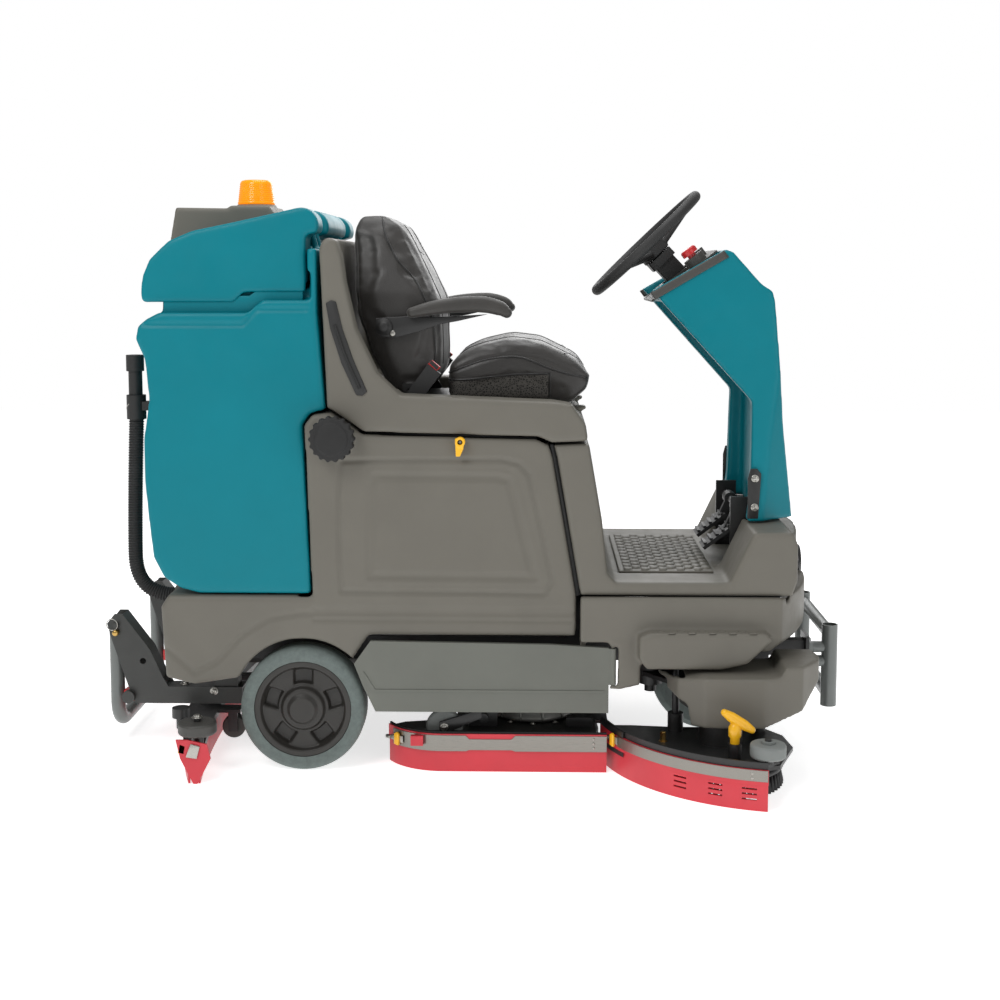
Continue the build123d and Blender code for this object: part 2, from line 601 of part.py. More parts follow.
with BuildPart() as drive_fork:
    for side in (-1, 1):
        block(FRONT_WHEEL_X - 30, FRONT_WHEEL_X + 30, *sorted((side * 48, side * 58)), 120, 318)
    block(FRONT_WHEEL_X - 60, FRONT_WHEEL_X + 60, -58, 58, 308, 322)
    pin_z(FRONT_WHEEL_X, 0, 320, 328, 60)
    pin_z(FRONT_WHEEL_X, 0, 320, 414, 30)
    pin_z(FRONT_WHEEL_X, 0, 402, 416, 70)
    pin_y(FRONT_WHEEL_X, FRONT_WHEEL_R, -60, 60, 14)
save(drive_fork, "drive_fork")

with BuildPart() as headlight:
    pin_x(0, LAMP_Z, 1216, 1252, LAMP_R)
    chamfer(headlight.faces().sort_by(Axis.X)[-1].edges(), length=4)
    pin_x(0, LAMP_Z, 1246, 1260, LAMP_R - 10, mode=Mode.SUBTRACT)
    pin_x(0, LAMP_Z, 1240, 1256, 20)
save(headlight, "headlight")

with BuildPart() as platform_mat:
    block(768, 1006, -258, 258, FLOOR_Z - 4, FLOOR_Z + 3)
    for row in range(7):
        for column in range(15 - row % 2):
            with BuildSketch(Plane.XY.offset(FLOOR_Z + 3)):
                with Locations((786 + row * 33, -238 + column * 34 + 17 * (row % 2))):
                    Ellipse(14, 15)
            extrude(amount=3)
save(platform_mat, "platform_mat")

# ---------------------------------------------------------------- seat deck and seat
DECK = [(51, 1262), (60, 1282), (75, 1288), (92, 1280), (104, 1240), (112, 1180), (136, 1073), (187, 965),
        (240, 915), (605, 900), (648, 893), (682, 845), (688, 806), (600, 802), (570, 816), (154, 827),
        (78, 879), (66, 884)]
with BuildPart() as seat_deck:
    side_panel(DECK, -BODY_HALF, BODY_HALF)
    round_sides(seat_deck, BODY_HALF, 10, 6, 4)
    # seat well, open to the front, and the hollow behind the backrest
    block(225, 720, -300, 300, 862, 1000, mode=Mode.SUBTRACT)
    side_panel([(84, 925), (84, 1310), (400, 1310), (400, 925)], -325, 325, mode=Mode.SUBTRACT)
    block(150, 226, -300, 300, 892, 930, mode=Mode.SUBTRACT)
    # underside
    side_panel([(172, 800), (600, 800), (600, 850), (172, 850)], -370, 370, mode=Mode.SUBTRACT)
    for side in (-1, 1):
        inner, outer = sorted((side * 314, side * 370))
        side_panel([(190, 840), (650, 840), (630, 880), (595, 888), (250, 900), (190, 920)], inner, outer,
                   mode=Mode.SUBTRACT)
        # seat rails
        block(262, 690, side * 150 - 20, side * 150 + 20, 862, 872)
    # hinge knuckles on the left
    for x in (200, 520):
        for x0, x1 in ((x - 50, x - 32), (x + 32, x + 50)):
            block(x0, x1, 372, DECK_HINGE_Y, DECK_HINGE_Z - 4, DECK_HINGE_Z + 8)
            pin_x(DECK_HINGE_Y, DECK_HINGE_Z, x0, x1, 9)
            pin_x(DECK_HINGE_Y, DECK_HINGE_Z, x0 - 1, x1 + 1, 5 + RUNNING, mode=Mode.SUBTRACT)
save(seat_deck, "seat_deck")

with BuildPart() as deck_latch:
    side_panel([(372, 815), (396, 813), (392, 790), (384, 772), (374, 772), (373, 790)], -408, -394)
    pin_y(384, 806, -410, -390, 12)
    pin_y(384, 806, -420, -380, 6 + RUNNING, mode=Mode.SUBTRACT)
save(deck_latch, "deck_latch")

with BuildPart() as seat_pan:
    block(240, 565, -215, 215, 874, 886)
    for side in (-1, 1):
        block(262, 560, side * 150 - 22, side * 150 + 22, 872.4, 875)
        block(240, 300, *sorted((side * 200, side * 260)), 874, 882)
        side_panel([(236, 874), (300, 874), (300, 890), (274, 934), (236, 934)], *sorted((side * 252, side * 260)))
        pin_y(BACK_PIVOT_X, BACK_PIVOT_Z, *sorted((side * 250, side * 262)), 8 + RUNNING, mode=Mode.SUBTRACT)
save(seat_pan, "seat_pan")

with BuildPart() as belt_buckles:
    for side in (-1, 1):
        inner, outer = sorted((side * 264, side * 288))
        side_panel([(247, 912), (301, 984), (331, 959), (279, 890)], inner, outer)
        side_panel([(256, 880), (290, 880), (290, 912), (256, 912)], *sorted((side * 260, side * 284)))
        side_panel([(303, 986), (310, 992), (328, 976), (322, 969)], *sorted((side * 267, side * 285)))
save(belt_buckles, "belt_buckles")

CUSHION = [(346, 888), (346, 978), (385, 1003), (424, 1020), (499, 1037), (574, 1028), (662, 985),
           (700, 955), (695, 922), (658, 888)]
with BuildPart() as seat_cushion:
    side_panel(CUSHION, -246, 246)
    round_sides(seat_cushion, 246, 22, 14, 8)
save(seat_cushion, "seat_cushion")

BACK = [(125, 1108), (113, 1320), (125, 1350), (183, 1353), (221, 1330), (284, 1209), (318, 1133),
        (322, 1000), (318, 925), (259, 901), (212, 907), (158, 1007)]
with BuildPart() as seat_back:
    side_panel(BACK, -245, 245)
    # narrower towards the top
    with BuildSketch(Plane.YZ):
        with BuildLine():
            Polyline((-245, 890), (-245, 1150), (-190, 1330), (-165, 1360), (165, 1360), (190, 1330),
                     (245, 1150), (245, 890), (-245, 890))
        make_face()
    extrude(amount=400, mode=Mode.INTERSECT)
    for side in (-1, 1):
        pin_y(BACK_PIVOT_X, BACK_PIVOT_Z, *sorted((side * 240, side * 259.6)), 8)
        pin_y(ARM_PIVOT_X, ARM_PIVOT_Z, *sorted((side * 240, side * 275)), 9)
save(seat_back, "seat_back")

PAD = [(255, 1110), (272, 1126), (327, 1138), (426, 1145), (476, 1138), (503, 1113), (495, 1098),
       (463, 1106), (327, 1094), (268, 1094)]
for label, side in (("right", -1), ("left", 1)):
    with BuildPart() as armrest:
        side_panel(PAD, *sorted((side * 258, side * 303)))
        fillet(armrest.edges().filter_by(Axis.Y), radius=4)
        side_panel([(168, 1093), (300, 1098), (451, 1103), (327, 1074), (228, 1048), (183, 1050)],
                   *sorted((side * 264, side * 272)))
        pin_y(ARM_PIVOT_X, ARM_PIVOT_Z, *sorted((side * 264, side * 284)), 20)
        pin_y(ARM_PIVOT_X, ARM_PIVOT_Z, *sorted((side * 262, side * 276)), 9 + RUNNING, mode=Mode.SUBTRACT)
    save(armrest, f"armrest_{label}")

# ---------------------------------------------------------------- filler cap, doors, batteries
with BuildPart() as fill_cap:
    pin_y(CAP_X, CAP_Z, -438, -406, CAP_R)
    for turn in range(18):
        angle = radians(20 * turn)
        pin_y(CAP_X + CAP_R * cos(angle), CAP_Z + CAP_R * sin(angle), -436, -408, 5)
    pin_y(CAP_X, CAP_Z, -421, -400, 36.6, mode=Mode.SUBTRACT)
    pin_y(CAP_X, CAP_Z, -442, -437, 38)
save(fill_cap, "fill_cap")

DOOR = [(167, 324), (127, 268), (149, 212), (178, 151), (739, 151), (739, 310), (600, 318)]
for label, side in (("right", -1), ("left", 1)):
    with BuildPart() as skirt_door:
        side_panel(DOOR, *sorted((side * 388, side * 400)))
        side_panel([(150, 250), (160, 215), (172, 200), (728, 200), (728, 206), (178, 206)],
                   *sorted((side * 400, side * 402)))
        block(736, 750, *sorted((side * 388.5, side * 399.5)), 220, 308)
        pin_z(750, side * 394, 220, 308, 7)
        pin_z(750, side * 394, 219, 309, 4 + RUNNING, mode=Mode.SUBTRACT)
    save(skirt_door, f"skirt_door_{label}")

with BuildPart() as batteries:
    block(152, 574, -344, 344, 361, 368)
    for column in range(2):
        for row in range(4):
            x = 262 + column * 202
            y = -258 + row * 172
            block(x - 96, x + 96, y - 80, y + 80, 366, 620)
            for post in (-50, 50):
                pin_z(x + post, y - 52, 618, 636, 9)
save(batteries, "batteries")

# ---------------------------------------------------------------- main scrub head
with BuildPart() as scrub_deck:
    plan_slab([(366, -376), (712, -376), (712, -258), (744, -258), (744, 258), (712, 258), (712, 376),
               (366, 376)], 82, 90)
    for side in (-1, 1):
        plan_slab([(214, side * 300), (300, side * 360), (372, side * 376), (372, side * 250), (240, side * 280)],
                  82, 90)
        block(366, 712, *sorted((side * 369, side * 376)), 58, 84)
        pin_z(BRUSH_X, side * BRUSH_Y, 88, 150, 88)
        pin_z(BRUSH_X, side * BRUSH_Y, 148, 158, 60)
        pin_z(BRUSH_X, side * BRUSH_Y, 46, 90, 12)
        # lift arms and clamps
        block(400, 470, side * 300 - 12, side * 300 + 12, 88, 128)
        block(640, 704, side * 300 - 12, side * 300 + 12, 88, 112)
        pin_y(436, 112, *sorted((side * 284, side * 322)), 12)
    for x in (BRUSH_X - 215, BRUSH_X + 160):
        pin_z(x, 0, 88, 148, 24)
        pin_z(x, 0, 60, 160, 11 + RUNNING, mode=Mode.SUBTRACT)
    block(330, 372, -40, 40, 82, 90)
    pin_z(BRUSH_X - 215, 0, 60, 100, 11 + RUNNING, mode=Mode.SUBTRACT)
    pin_z(BRUSH_X, 0, 88, 224, 12)
save(scrub_deck, "scrub_deck")

for label, side in (("right", -1), ("left", 1)):
    with BuildPart() as brush:
        y = side * BRUSH_Y
        pin_z(BRUSH_X, y, 42, 54, BRUSH_R - 4)
        pin_z(BRUSH_X, y, 54, 78, 38)
        with BuildSketch(Plane.XY):
            with Locations((BRUSH_X, y)):
                Circle(BRUSH_R)
                Circle(96, mode=Mode.SUBTRACT)
        extrude(amount=44)
        pin_z(BRUSH_X, y, 40, 80, 12 + RUNNING, mode=Mode.SUBTRACT)
    save(brush, f"brush_{label}")

BLADE_Y = 385
with BuildPart() as side_squeegees:
    for side in (-1, 1):
        for height, (z0, z1), width, shift in ((75, (0, 75), 6, 0), (34, (60, 94), 4, 5)):
            y = side * (BLADE_Y + shift)
            with BuildSketch(Plane.XY.offset(z0)):
                with BuildLine() as spine:
                    Line((736, y), (340, y))
                    ThreePointArc((340, y), (268, y - side * 18), (205 - shift / 2, y - side * 82))
                trace(spine.line, line_width=width)
            extrude(amount=height)
        # clamps between blade and deck, latch
        for x in (410, 550, 690):
            block(x - 16, x + 16, *sorted((side * 376.4, side * 384)), 60, 92)
        block(286, 364, *sorted((side * 350, side * 384)), 60, 81.4)
        block(262, 292, *sorted((side * 384, side * 398)), 66, 90)
save(side_squeegees, "side_squeegees")

# ---------------------------------------------------------------- side brush
POSTS = ((905, -345), (1105, -345))
with BuildPart() as side_arm:
    pin_z(SWING_X, SWING_Y, 190, 240, 30)
    plan_slab([(826, -246), (880, -238), (1120, -318), (1132, -356), (1000, -352), (884, -362), (828, -290)],
              214, 224)
    for x, y in POSTS:
        pin_z(x, y, 104, 216, 9)
        pin_z(x, y, 222, 248, 8)
    pin_z(SWING_X, SWING_Y, 180, 250, 15 + RUNNING, mode=Mode.SUBTRACT)
save(side_arm, "side_arm")

COVER_PLAN = [(862, -322), (900, -440), (960, -492), (1100, -496), (1190, -470), (1240, -400), (1254, -330),
              (1236, -296), (880, -296)]
COVER_INNER = [(870, -290), (870, -322), (907, -436), (963, -485), (1099, -489), (1186, -464), (1233, -397),
               (1246, -330), (1228, -290)]
COVER_SIDE = [(850, 225), (922, 190), (930, 142), (1094, 142), (1190, 178), (1244, 238), (1262, 272),
              (1236, 286), (1150, 286), (1136, 262), (960, 260), (856, 240)]
with BuildPart() as side_cover:
    plan_slab(COVER_PLAN, 130, 290)
    with BuildSketch(Plane.XZ.offset(250)):
        with BuildLine():
            Polyline(*COVER_SIDE, close=True)
        make_face()
    extrude(amount=300, mode=Mode.INTERSECT)
    with BuildSketch(Plane.XY.offset(130)):
        with BuildLine():
            Polyline(*COVER_INNER, close=True)
        make_face()
    extrude(amount=118.5, mode=Mode.SUBTRACT)
    block(850, 902, -374, -280, 100, 230, mode=Mode.SUBTRACT)
save(side_cover, "side_cover")

SIDE_PLAN = [(744, -306), (764, -360), (826, -464), (900, -540), (974, -586), (1072, -622), (1120, -600),
             (1170, -470), (1160, -380), (1120, -318), (900, -318), (800, -306)]
with BuildPart() as side_deck:
    plan_slab(SIDE_PLAN, 84, 93)
    plan_slab([(1040, -590), (1084, -622), (1118, -596), (1080, -560)], 92, 100)
    for x, y in POSTS:
        pin_z(x, y, 92, 138, 19)
        pin_z(x, y, 80, 140, 9 + RUNNING, mode=Mode.SUBTRACT)
    pin_z(SIDE_BRUSH_X, SIDE_BRUSH_Y, 92, 166, 52)
    pin_z(SIDE_BRUSH_X, SIDE_BRUSH_Y, 164, 174, 36)
    pin_z(SIDE_BRUSH_X, SIDE_BRUSH_Y, 46, 90, 12)
    # roller spindle and knob boss
    pin_z(1091, -600, 96, 156, 8)
    pin_z(1091, -600, 98, 108, 14)
    pin_z(1022, -552, 92, 128, 16)
    pin_z(1022, -552, 80, 130, 7 + RUNNING, mode=Mode.SUBTRACT)
save(side_deck, "side_deck")

with BuildPart() as side_brush:
    pin_z(SIDE_BRUSH_X, SIDE_BRUSH_Y, 42, 54, SIDE_BRUSH_R - 6)
    pin_z(SIDE_BRUSH_X, SIDE_BRUSH_Y, 54, 80, 34)
    with BuildSketch(Plane.XY):
        with Locations((SIDE_BRUSH_X, SIDE_BRUSH_Y)):
            Circle(SIDE_BRUSH_R)
            Circle(84, mode=Mode.SUBTRACT)
    extrude(amount=44)
    pin_z(SIDE_BRUSH_X, SIDE_BRUSH_Y, 40, 84, 12 + RUNNING, mode=Mode.SUBTRACT)
save(side_brush, "side_brush")

with BuildPart() as side_roller:
    pin_z(1091, -600, 112, 144, 41)
    fillet(side_roller.edges().filter_by(GeomType.CIRCLE), radius=6)
    pin_z(1091, -600, 108.6, 150, 16)
    pin_z(1091, -600, 104, 160, 8 + RUNNING, mode=Mode.SUBTRACT)
save(side_roller, "side_roller")

with BuildPart() as side_knob:
    pin_z(1022, -552, 86, 170, 7)
    pin_z(1022, -552, 130.4, 146, 13)
    with BuildSketch(Plane.XY.offset(168)):
        with Locations((1022, -552)):
            SlotOverall(100, 24)
    extrude(amount=24)
save(side_knob, "side_knob")

with BuildLine() as side_curve:
    ThreePointArc((731, -300), (858, -522), (1086, -642))
CURVE = side_curve.line


def on_curve(along, height):
    """Place on the side brush squeegee's curve, turned to its tangent."""
    spot = CURVE @ along
    run = CURVE % along
    return Location((spot.X, spot.Y, height), (0, 0, degrees(atan2(run.Y, run.X))))


with BuildPart() as side_squeegee:
    for z0, height, width, shift in ((0, 96, 6, 0), (62, 34, 4, 5.2)):
        with BuildSketch(Plane.XY.offset(z0)):
            with BuildLine() as spine:
                ThreePointArc((731 - shift, -300), (858 - shift * 0.7, -522 - shift * 0.7),
                              (1086, -642 - shift))
            trace(spine.line, line_width=width)
        extrude(amount=height)
    # slots in three groups, clamps
    for along in (0.6, 0.77, 0.92):
        for z in (26, 38, 50):
            with Locations(on_curve(along, z)):
                Box(34, 16, 4, mode=Mode.SUBTRACT)
    for along in (0.25, 0.55, 0.9):
        with Locations(on_curve(along, 78)):
            Box(30, 14, 26)
save(side_squeegee, "side_squeegee")

# ---------------------------------------------------------------- rear squeegee
with BuildPart() as squeegee_arm:
    pin_y(SQUEEGEE_PIN_X, SQUEEGEE_PIN_Z, -124, 124, 17)
    for side in (-1, 1):
        side_panel([(-108, 204), (-86, 188), (-196, 104), (-330, 104), (-330, 118), (-204, 120)],
                   *sorted((side * 36, side * 60)))
    block(-330, -270, -60, 60, 104, 118)
    pin_z(SWIVEL_X, 0, 64, 106, 14)
    pin_y(SQUEEGEE_PIN_X, SQUEEGEE_PIN_Z, -130, 130, 9 + RUNNING, mode=Mode.SUBTRACT)
save(squeegee_arm, "squeegee_arm")

SQUEEGEE_TOP = 78
with BuildPart() as squeegee_frame:
    with BuildSketch(Plane.XY.offset(62)):
        with BuildLine():
            ThreePointArc((-262, -484), (-346, 0), (-262, 484))
            Line((-262, 484), (-222, 484))
            ThreePointArc((-222, 484), (-262, 0), (-222, -484))
            Line((-222, -484), (-262, -484))
        make_face()
    extrude(amount=SQUEEGEE_TOP - 62)
    pin_z(SWIVEL_X, 0, 62, 101, 30)
    pin_z(SWIVEL_X, 0, 60, 110, 14 + RUNNING, mode=Mode.SUBTRACT)
    for side in (-1, 1):
        # roller spindles and caster brackets
        pin_z(-243, side * 450, 70, 150, 8)
        pin_z(-243, side * 450, 76, 108, 14)
        block(-268, -200, side * 128 - 24, side * 128 + 24, 70, SQUEEGEE_TOP)
        for y in (side * 128 - 20, side * 128 + 20):
            block(-232, -208, y - 3, y + 3, 20, 72)
        pin_y(-220, 30, side * 128 - 22, side * 128 + 22, 6)
        # clamp posts with their knobs
        pin_z(-318, side * 300, 76, 118, 12)
        pin_z(-318, side * 300, 104, 128, 22)
save(squeegee_frame, "squeegee_frame")

with BuildPart() as squeegee_blades:
    for middle, end in ((-340, -256), (-266, -232)):
        with BuildSketch(Plane.XY):
            with BuildLine() as spine:
                ThreePointArc((end, -488), (middle, 0), (end, 488))
            trace(spine.line, line_width=5)
        extrude(amount=61.6)
    for side in (-1, 1):
        side_panel([(-286, 106), (-276, 61), (-246, 0), (-236, 0), (-204, 61), (-212, 96), (-258, 106)],
                   *sorted((side * 486, side * 492)))
save(squeegee_blades, "squeegee_blades")

for label, side in (("right", -1), ("left", 1)):
    with BuildPart() as caster:
        pin_y(-220, 30, side * 128 - 14, side * 128 + 14, 30)
        fillet(caster.edges().filter_by(GeomType.CIRCLE), radius=4)
        pin_y(-220, 30, side * 128 - 20, side * 128 + 20, 6 + RUNNING, mode=Mode.SUBTRACT)
    save(caster, f"caster_{label}")
    with BuildPart() as roller:
        pin_z(-243, side * 450, 110, 140, 46)
        fillet(roller.edges().filter_by(GeomType.CIRCLE), radius=7)
        pin_z(-243, side * 450, 100, 150, 8 + RUNNING, mode=Mode.SUBTRACT)
    save(roller, f"roller_{label}")

# ---------------------------------------------------------------- tail brackets, guard, bumper
with BuildPart() as tail_brackets:
    for side in (-1, 1):
        for y in (side * GUARD_Y - 25, side * GUARD_Y + 25):
            side_panel([(-519, 322), (-500, 346), (-479, 346), (-412, 256), (-380, 184), (-366, 160),
                        (-178, 160), (-178, 117), (-454, 117), (-509, 284)], y - 3, y + 3)
        web = (side * GUARD_Y - 23, side * GUARD_Y + 23)
        side_panel([(-479, 346), (-412, 256), (-380, 184), (-386, 184), (-418, 254), (-484, 342)], *web)
        side_panel([(-380, 160), (-178, 160), (-178, 154), (-380, 154)], *web)
        block(-250, -190, *web, 158, 231.6)
        pin_y(GUARD_X, GUARD_PIN_Z, side * GUARD_Y - 30, side * GUARD_Y + 30, 6)
        # tie-down eye, right through both plates
        pin_y(-430, 226, side * GUARD_Y - 60, side * GUARD_Y + 60, 8, mode=Mode.SUBTRACT)
        # release pin with its ring lug
        pin_y(-495, 318, *sorted((side * (GUARD_Y + 24), side * (GUARD_Y + 38))), 7)
    # red pull stub
    pin_y(-466, 136, -244, -226, 16)
save(tail_brackets, "tail_brackets")

with BuildPart() as rear_guard:
    with BuildLine() as bend:
        FilletPolyline((GUARD_X, -GUARD_Y, 312), (GUARD_X, -GUARD_Y, 58), (GUARD_X, GUARD_Y, 58),
                       (GUARD_X, GUARD_Y, 312), radius=58)
    with BuildSketch(Plane(origin=(GUARD_X, -GUARD_Y, 312), z_dir=(0, 0, -1))):
        Circle(18)
        Circle(15.5, mode=Mode.SUBTRACT)
    sweep(path=bend.line)
    for side in (-1, 1):
        pin_y(GUARD_X, GUARD_PIN_Z, side * GUARD_Y - 20, side * GUARD_Y + 20, 10)
        pin_y(GUARD_X, GUARD_PIN_Z, side * GUARD_Y - 21, side * GUARD_Y + 21, 6 + RUNNING, mode=Mode.SUBTRACT)
save(rear_guard, "rear_guard")

with BuildPart() as front_bumper:
    for side in (-1, 1):
        y = side * BUMPER_Y
        pin_z(BUMPER_X, y, 114, 322, 20)
        block(1249, 1257, y - 36, y + 36, 208, 284)
        pin_x(y, 264, 1256, 1296, 14)
        pin_x(y, 228, 1256, 1296, 14)
        for z in (220, 272):
            pin_x(y - 26, z, 1256, 1263, 9)
            pin_x(y + 26, z, 1256, 1263, 9)
    for z in (140, 298):
        pin_y(BUMPER_X, z, -BUMPER_Y, BUMPER_Y, 16)
        pin_y(BUMPER_X, z, -BUMPER_Y + 24, BUMPER_Y - 24, 13.5, mode=Mode.SUBTRACT)
    for side in (-1, 1):
        pin_z(BUMPER_X, side * BUMPER_Y, 100, 340, 17, mode=Mode.SUBTRACT)
save(front_bumper, "front_bumper")
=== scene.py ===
"""Looks of the ride-on floor scrubber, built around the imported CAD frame.

Lengths in the helper calls are machine millimetres: X forward from the rear axle, Y to the left of the
middle plane, Z up from the floor. spot() turns them into the row frame's metres.
"""

import math

import bmesh
import bpy
import numpy as np
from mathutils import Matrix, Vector
from mathutils.bvhtree import BVHTree


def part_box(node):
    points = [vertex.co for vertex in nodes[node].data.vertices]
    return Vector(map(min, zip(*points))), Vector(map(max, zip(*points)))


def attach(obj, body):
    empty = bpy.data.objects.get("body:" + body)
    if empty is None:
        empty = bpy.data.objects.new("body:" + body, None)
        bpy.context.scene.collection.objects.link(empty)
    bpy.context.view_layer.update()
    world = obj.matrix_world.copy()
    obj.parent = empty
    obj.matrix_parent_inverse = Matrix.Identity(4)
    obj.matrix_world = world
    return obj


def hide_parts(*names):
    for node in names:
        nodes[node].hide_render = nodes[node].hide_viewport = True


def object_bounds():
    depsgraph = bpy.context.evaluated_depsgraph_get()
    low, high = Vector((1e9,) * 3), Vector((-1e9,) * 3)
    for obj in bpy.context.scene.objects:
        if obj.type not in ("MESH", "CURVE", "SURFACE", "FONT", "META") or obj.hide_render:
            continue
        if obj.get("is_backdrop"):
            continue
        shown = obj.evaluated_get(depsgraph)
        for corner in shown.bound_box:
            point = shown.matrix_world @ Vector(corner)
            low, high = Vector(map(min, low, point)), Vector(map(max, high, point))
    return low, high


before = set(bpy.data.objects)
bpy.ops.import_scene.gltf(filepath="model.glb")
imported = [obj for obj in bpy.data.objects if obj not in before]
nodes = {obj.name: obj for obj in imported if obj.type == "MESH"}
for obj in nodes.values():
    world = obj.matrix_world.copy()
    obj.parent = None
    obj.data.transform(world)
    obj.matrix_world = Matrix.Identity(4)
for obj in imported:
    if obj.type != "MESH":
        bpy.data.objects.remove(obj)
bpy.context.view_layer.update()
scene = bpy.context.scene


def middle(node, axis):
    low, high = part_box(node)
    return (low[axis] + high[axis]) / 2


ORIGIN_X = middle("rear_hub_right", 0)
ORIGIN_Y = middle("front_tyre", 1)


FORWARD, LEFT, UP = (1, 0, 0), (0, 1, 0), (0, 0, 1)
SIDES = ((-1, "right"), (1, "left"))


def spot(x, y, z):
    """Machine millimetres to row-frame metres."""
    return Vector((ORIGIN_X + x / 1000, ORIGIN_Y + y / 1000, z / 1000))


# ------------ camera
camera_data = bpy.data.cameras.new("camera")
camera_data.sensor_width = 36
camera_data.lens = 53.63
camera_data.shift_y = -0.08
camera = bpy.data.objects.new("camera", camera_data)
scene.collection.objects.link(camera)
scene.camera = camera
YAW, PITCH = -0.0236, 0.0998
aim = Vector((math.sin(YAW) * math.cos(PITCH), math.cos(YAW) * math.cos(PITCH), -math.sin(PITCH)))
camera.location = spot(561, -3898, 1209)
camera.rotation_euler = aim.to_track_quat("-Z", "Y").to_euler()


# ------------ material building blocks
class Nodes:
    """A small helper around one material's node tree."""

    def __init__(self, name):
        self.material = bpy.data.materials.new(name)
        self.material.use_nodes = True
        self.tree = self.material.node_tree
        self.shader = self.tree.nodes["Principled BSDF"]
        self.place = self.tree.nodes.new("ShaderNodeTexCoord").outputs["Object"]

    def add(self, kind, **settings):
        node = self.tree.nodes.new(kind)
        for key, value in settings.items():
            if key in node.inputs:
                node.inputs[key].default_value = value
            else:
                setattr(node, key, value)
        return node

    def link(self, a, b):
        self.tree.links.new(a, b)

    def paint(self, source):
        self.link(source, self.shader.inputs["Base Color"])

    def roughen(self, source):
        self.link(source, self.shader.inputs["Roughness"])

    def put(self, name, value):
        self.shader.inputs[name].default_value = value

    def noise(self, scale, detail=3.0, rough=0.5, stretch=None):
        node = self.add("ShaderNodeTexNoise", Scale=scale, Detail=detail, Roughness=rough)
        source = self.place
        if stretch:
            mapping = self.add("ShaderNodeMapping")
            mapping.inputs["Scale"].default_value = stretch
            self.link(self.place, mapping.inputs["Vector"])
            source = mapping.outputs["Vector"]
        self.link(source, node.inputs["Vector"])
        return node.outputs["Fac"]

    def ramp(self, source, stops):
        node = self.add("ShaderNodeValToRGB")
        elements = node.color_ramp.elements
        while len(elements) < len(stops):
            elements.new(0.5)
        for element, (at, colour) in zip(elements, stops):
            element.position = at
            element.color = (*colour, 1)
        self.link(source, node.inputs["Fac"])
        return node.outputs["Color"]

    def span(self, source, low, high):
        """Spreads the middle of a noise over a range of values."""
        node = self.add("ShaderNodeMapRange")
        for key, value in (("From Min", 0.3), ("From Max", 0.7), ("To Min", low), ("To Max", high)):
            node.inputs[key].default_value = value
        self.link(source, node.inputs["Value"])
        return node.outputs["Result"]

    def bump(self, *layers):
        """Each layer is (height source, distance in metres, strength)."""
        below = None
        for source, distance, strength in layers:
            node = self.add("ShaderNodeBump", Distance=distance, Strength=strength)
            self.link(source, node.inputs["Height"])
            if below is not None:
                self.link(below, node.inputs["Normal"])
            below = node.outputs["Normal"]
        self.link(below, self.shader.inputs["Normal"])


def srgb(r, g, b):
    """0-255 display colour to linear."""
    def channel(value):
        value /= 255
        return value / 12.92 if value <= 0.04045 else ((value + 0.055) / 1.055) ** 2.4
    return tuple(channel(v) for v in (r, g, b))


def shade(colour, factor):
    return tuple(min(1.0, c * factor) for c in colour)


def moulded(name, colour, rough, grain=1.0, coat=0.0, metallic=0.0, spread=0.06, grain_scale=1400,
            shine=0.5):
    """Textured plastic or powder coat: slight tint drift, fine grain and soft waviness."""
    n = Nodes(name)
    drift = n.noise(5.0, 4.0, 0.6)
    colour_out = n.ramp(drift, [(0.3, shade(colour, 1 - spread)), (0.7, shade(colour, 1 + spread))])
    n.paint(colour_out)
    n.roughen(n.span(n.noise(22.0, 5.0, 0.6), rough - 0.05, rough + 0.07))
    n.put("Metallic", metallic)
    n.put("Specular IOR Level", shine)
    n.put("Coat Weight", coat)
    n.put("Coat Roughness", 0.25)
    n.bump((n.noise(grain_scale, 2.0, 0.5), 0.0002, 0.25 * grain),
           (n.noise(45.0, 2.0, 0.5), 0.0006, 0.12 * grain))
    return n.material


def vinyl(name, colour, rough=0.42):
    """Grained upholstery vinyl."""
    n = Nodes(name)
    cells = n.add("ShaderNodeTexVoronoi", Scale=520.0)
    n.link(n.place, cells.inputs["Vector"])
    colour_out = n.ramp(n.noise(9.0, 4.0, 0.6), [(0.3, shade(colour, 0.85)), (0.7, shade(colour, 1.2))])
    n.paint(colour_out)
    n.roughen(n.span(n.noise(30.0, 4.0, 0.6), rough - 0.08, rough + 0.1))
    n.put("Sheen Weight", 0.15)
    n.put("Sheen Roughness", 0.5)
    n.bump((cells.outputs["Distance"], 0.0004, 0.5), (n.noise(14.0, 3.0, 0.5), 0.003, 0.25))
    return n.material


def metal(name, colour, rough, streak=(4.0, 90.0, 90.0)):
    """Bare or brushed metal."""
    n = Nodes(name)
    grain = n.noise(12.0, 4.0, 0.7, stretch=streak)
    n.paint(n.ramp(grain, [(0.3, shade(colour, 0.85)), (0.7, shade(colour, 1.1))]))
    n.roughen(n.span(grain, rough - 0.07, rough + 0.1))
    n.put("Metallic", 1.0)
    n.bump((grain, 0.0002, 0.2))
    return n.material


def tyre_rubber(name, colour):
    """Grey non-marking tyre with scuffed tread."""
    n = Nodes(name)
    dust = n.noise(60.0, 6.0, 0.7)
    n.paint(n.ramp(dust, [(0.35, shade(colour, 0.8)), (0.65, shade(colour, 1.15))]))
    n.roughen(n.span(dust, 0.6, 0.85))
    n.bump((n.noise(700.0, 3.0, 0.6), 0.0003, 0.4), (n.noise(80.0, 3.0, 0.6), 0.0006, 0.3))
    return n.material


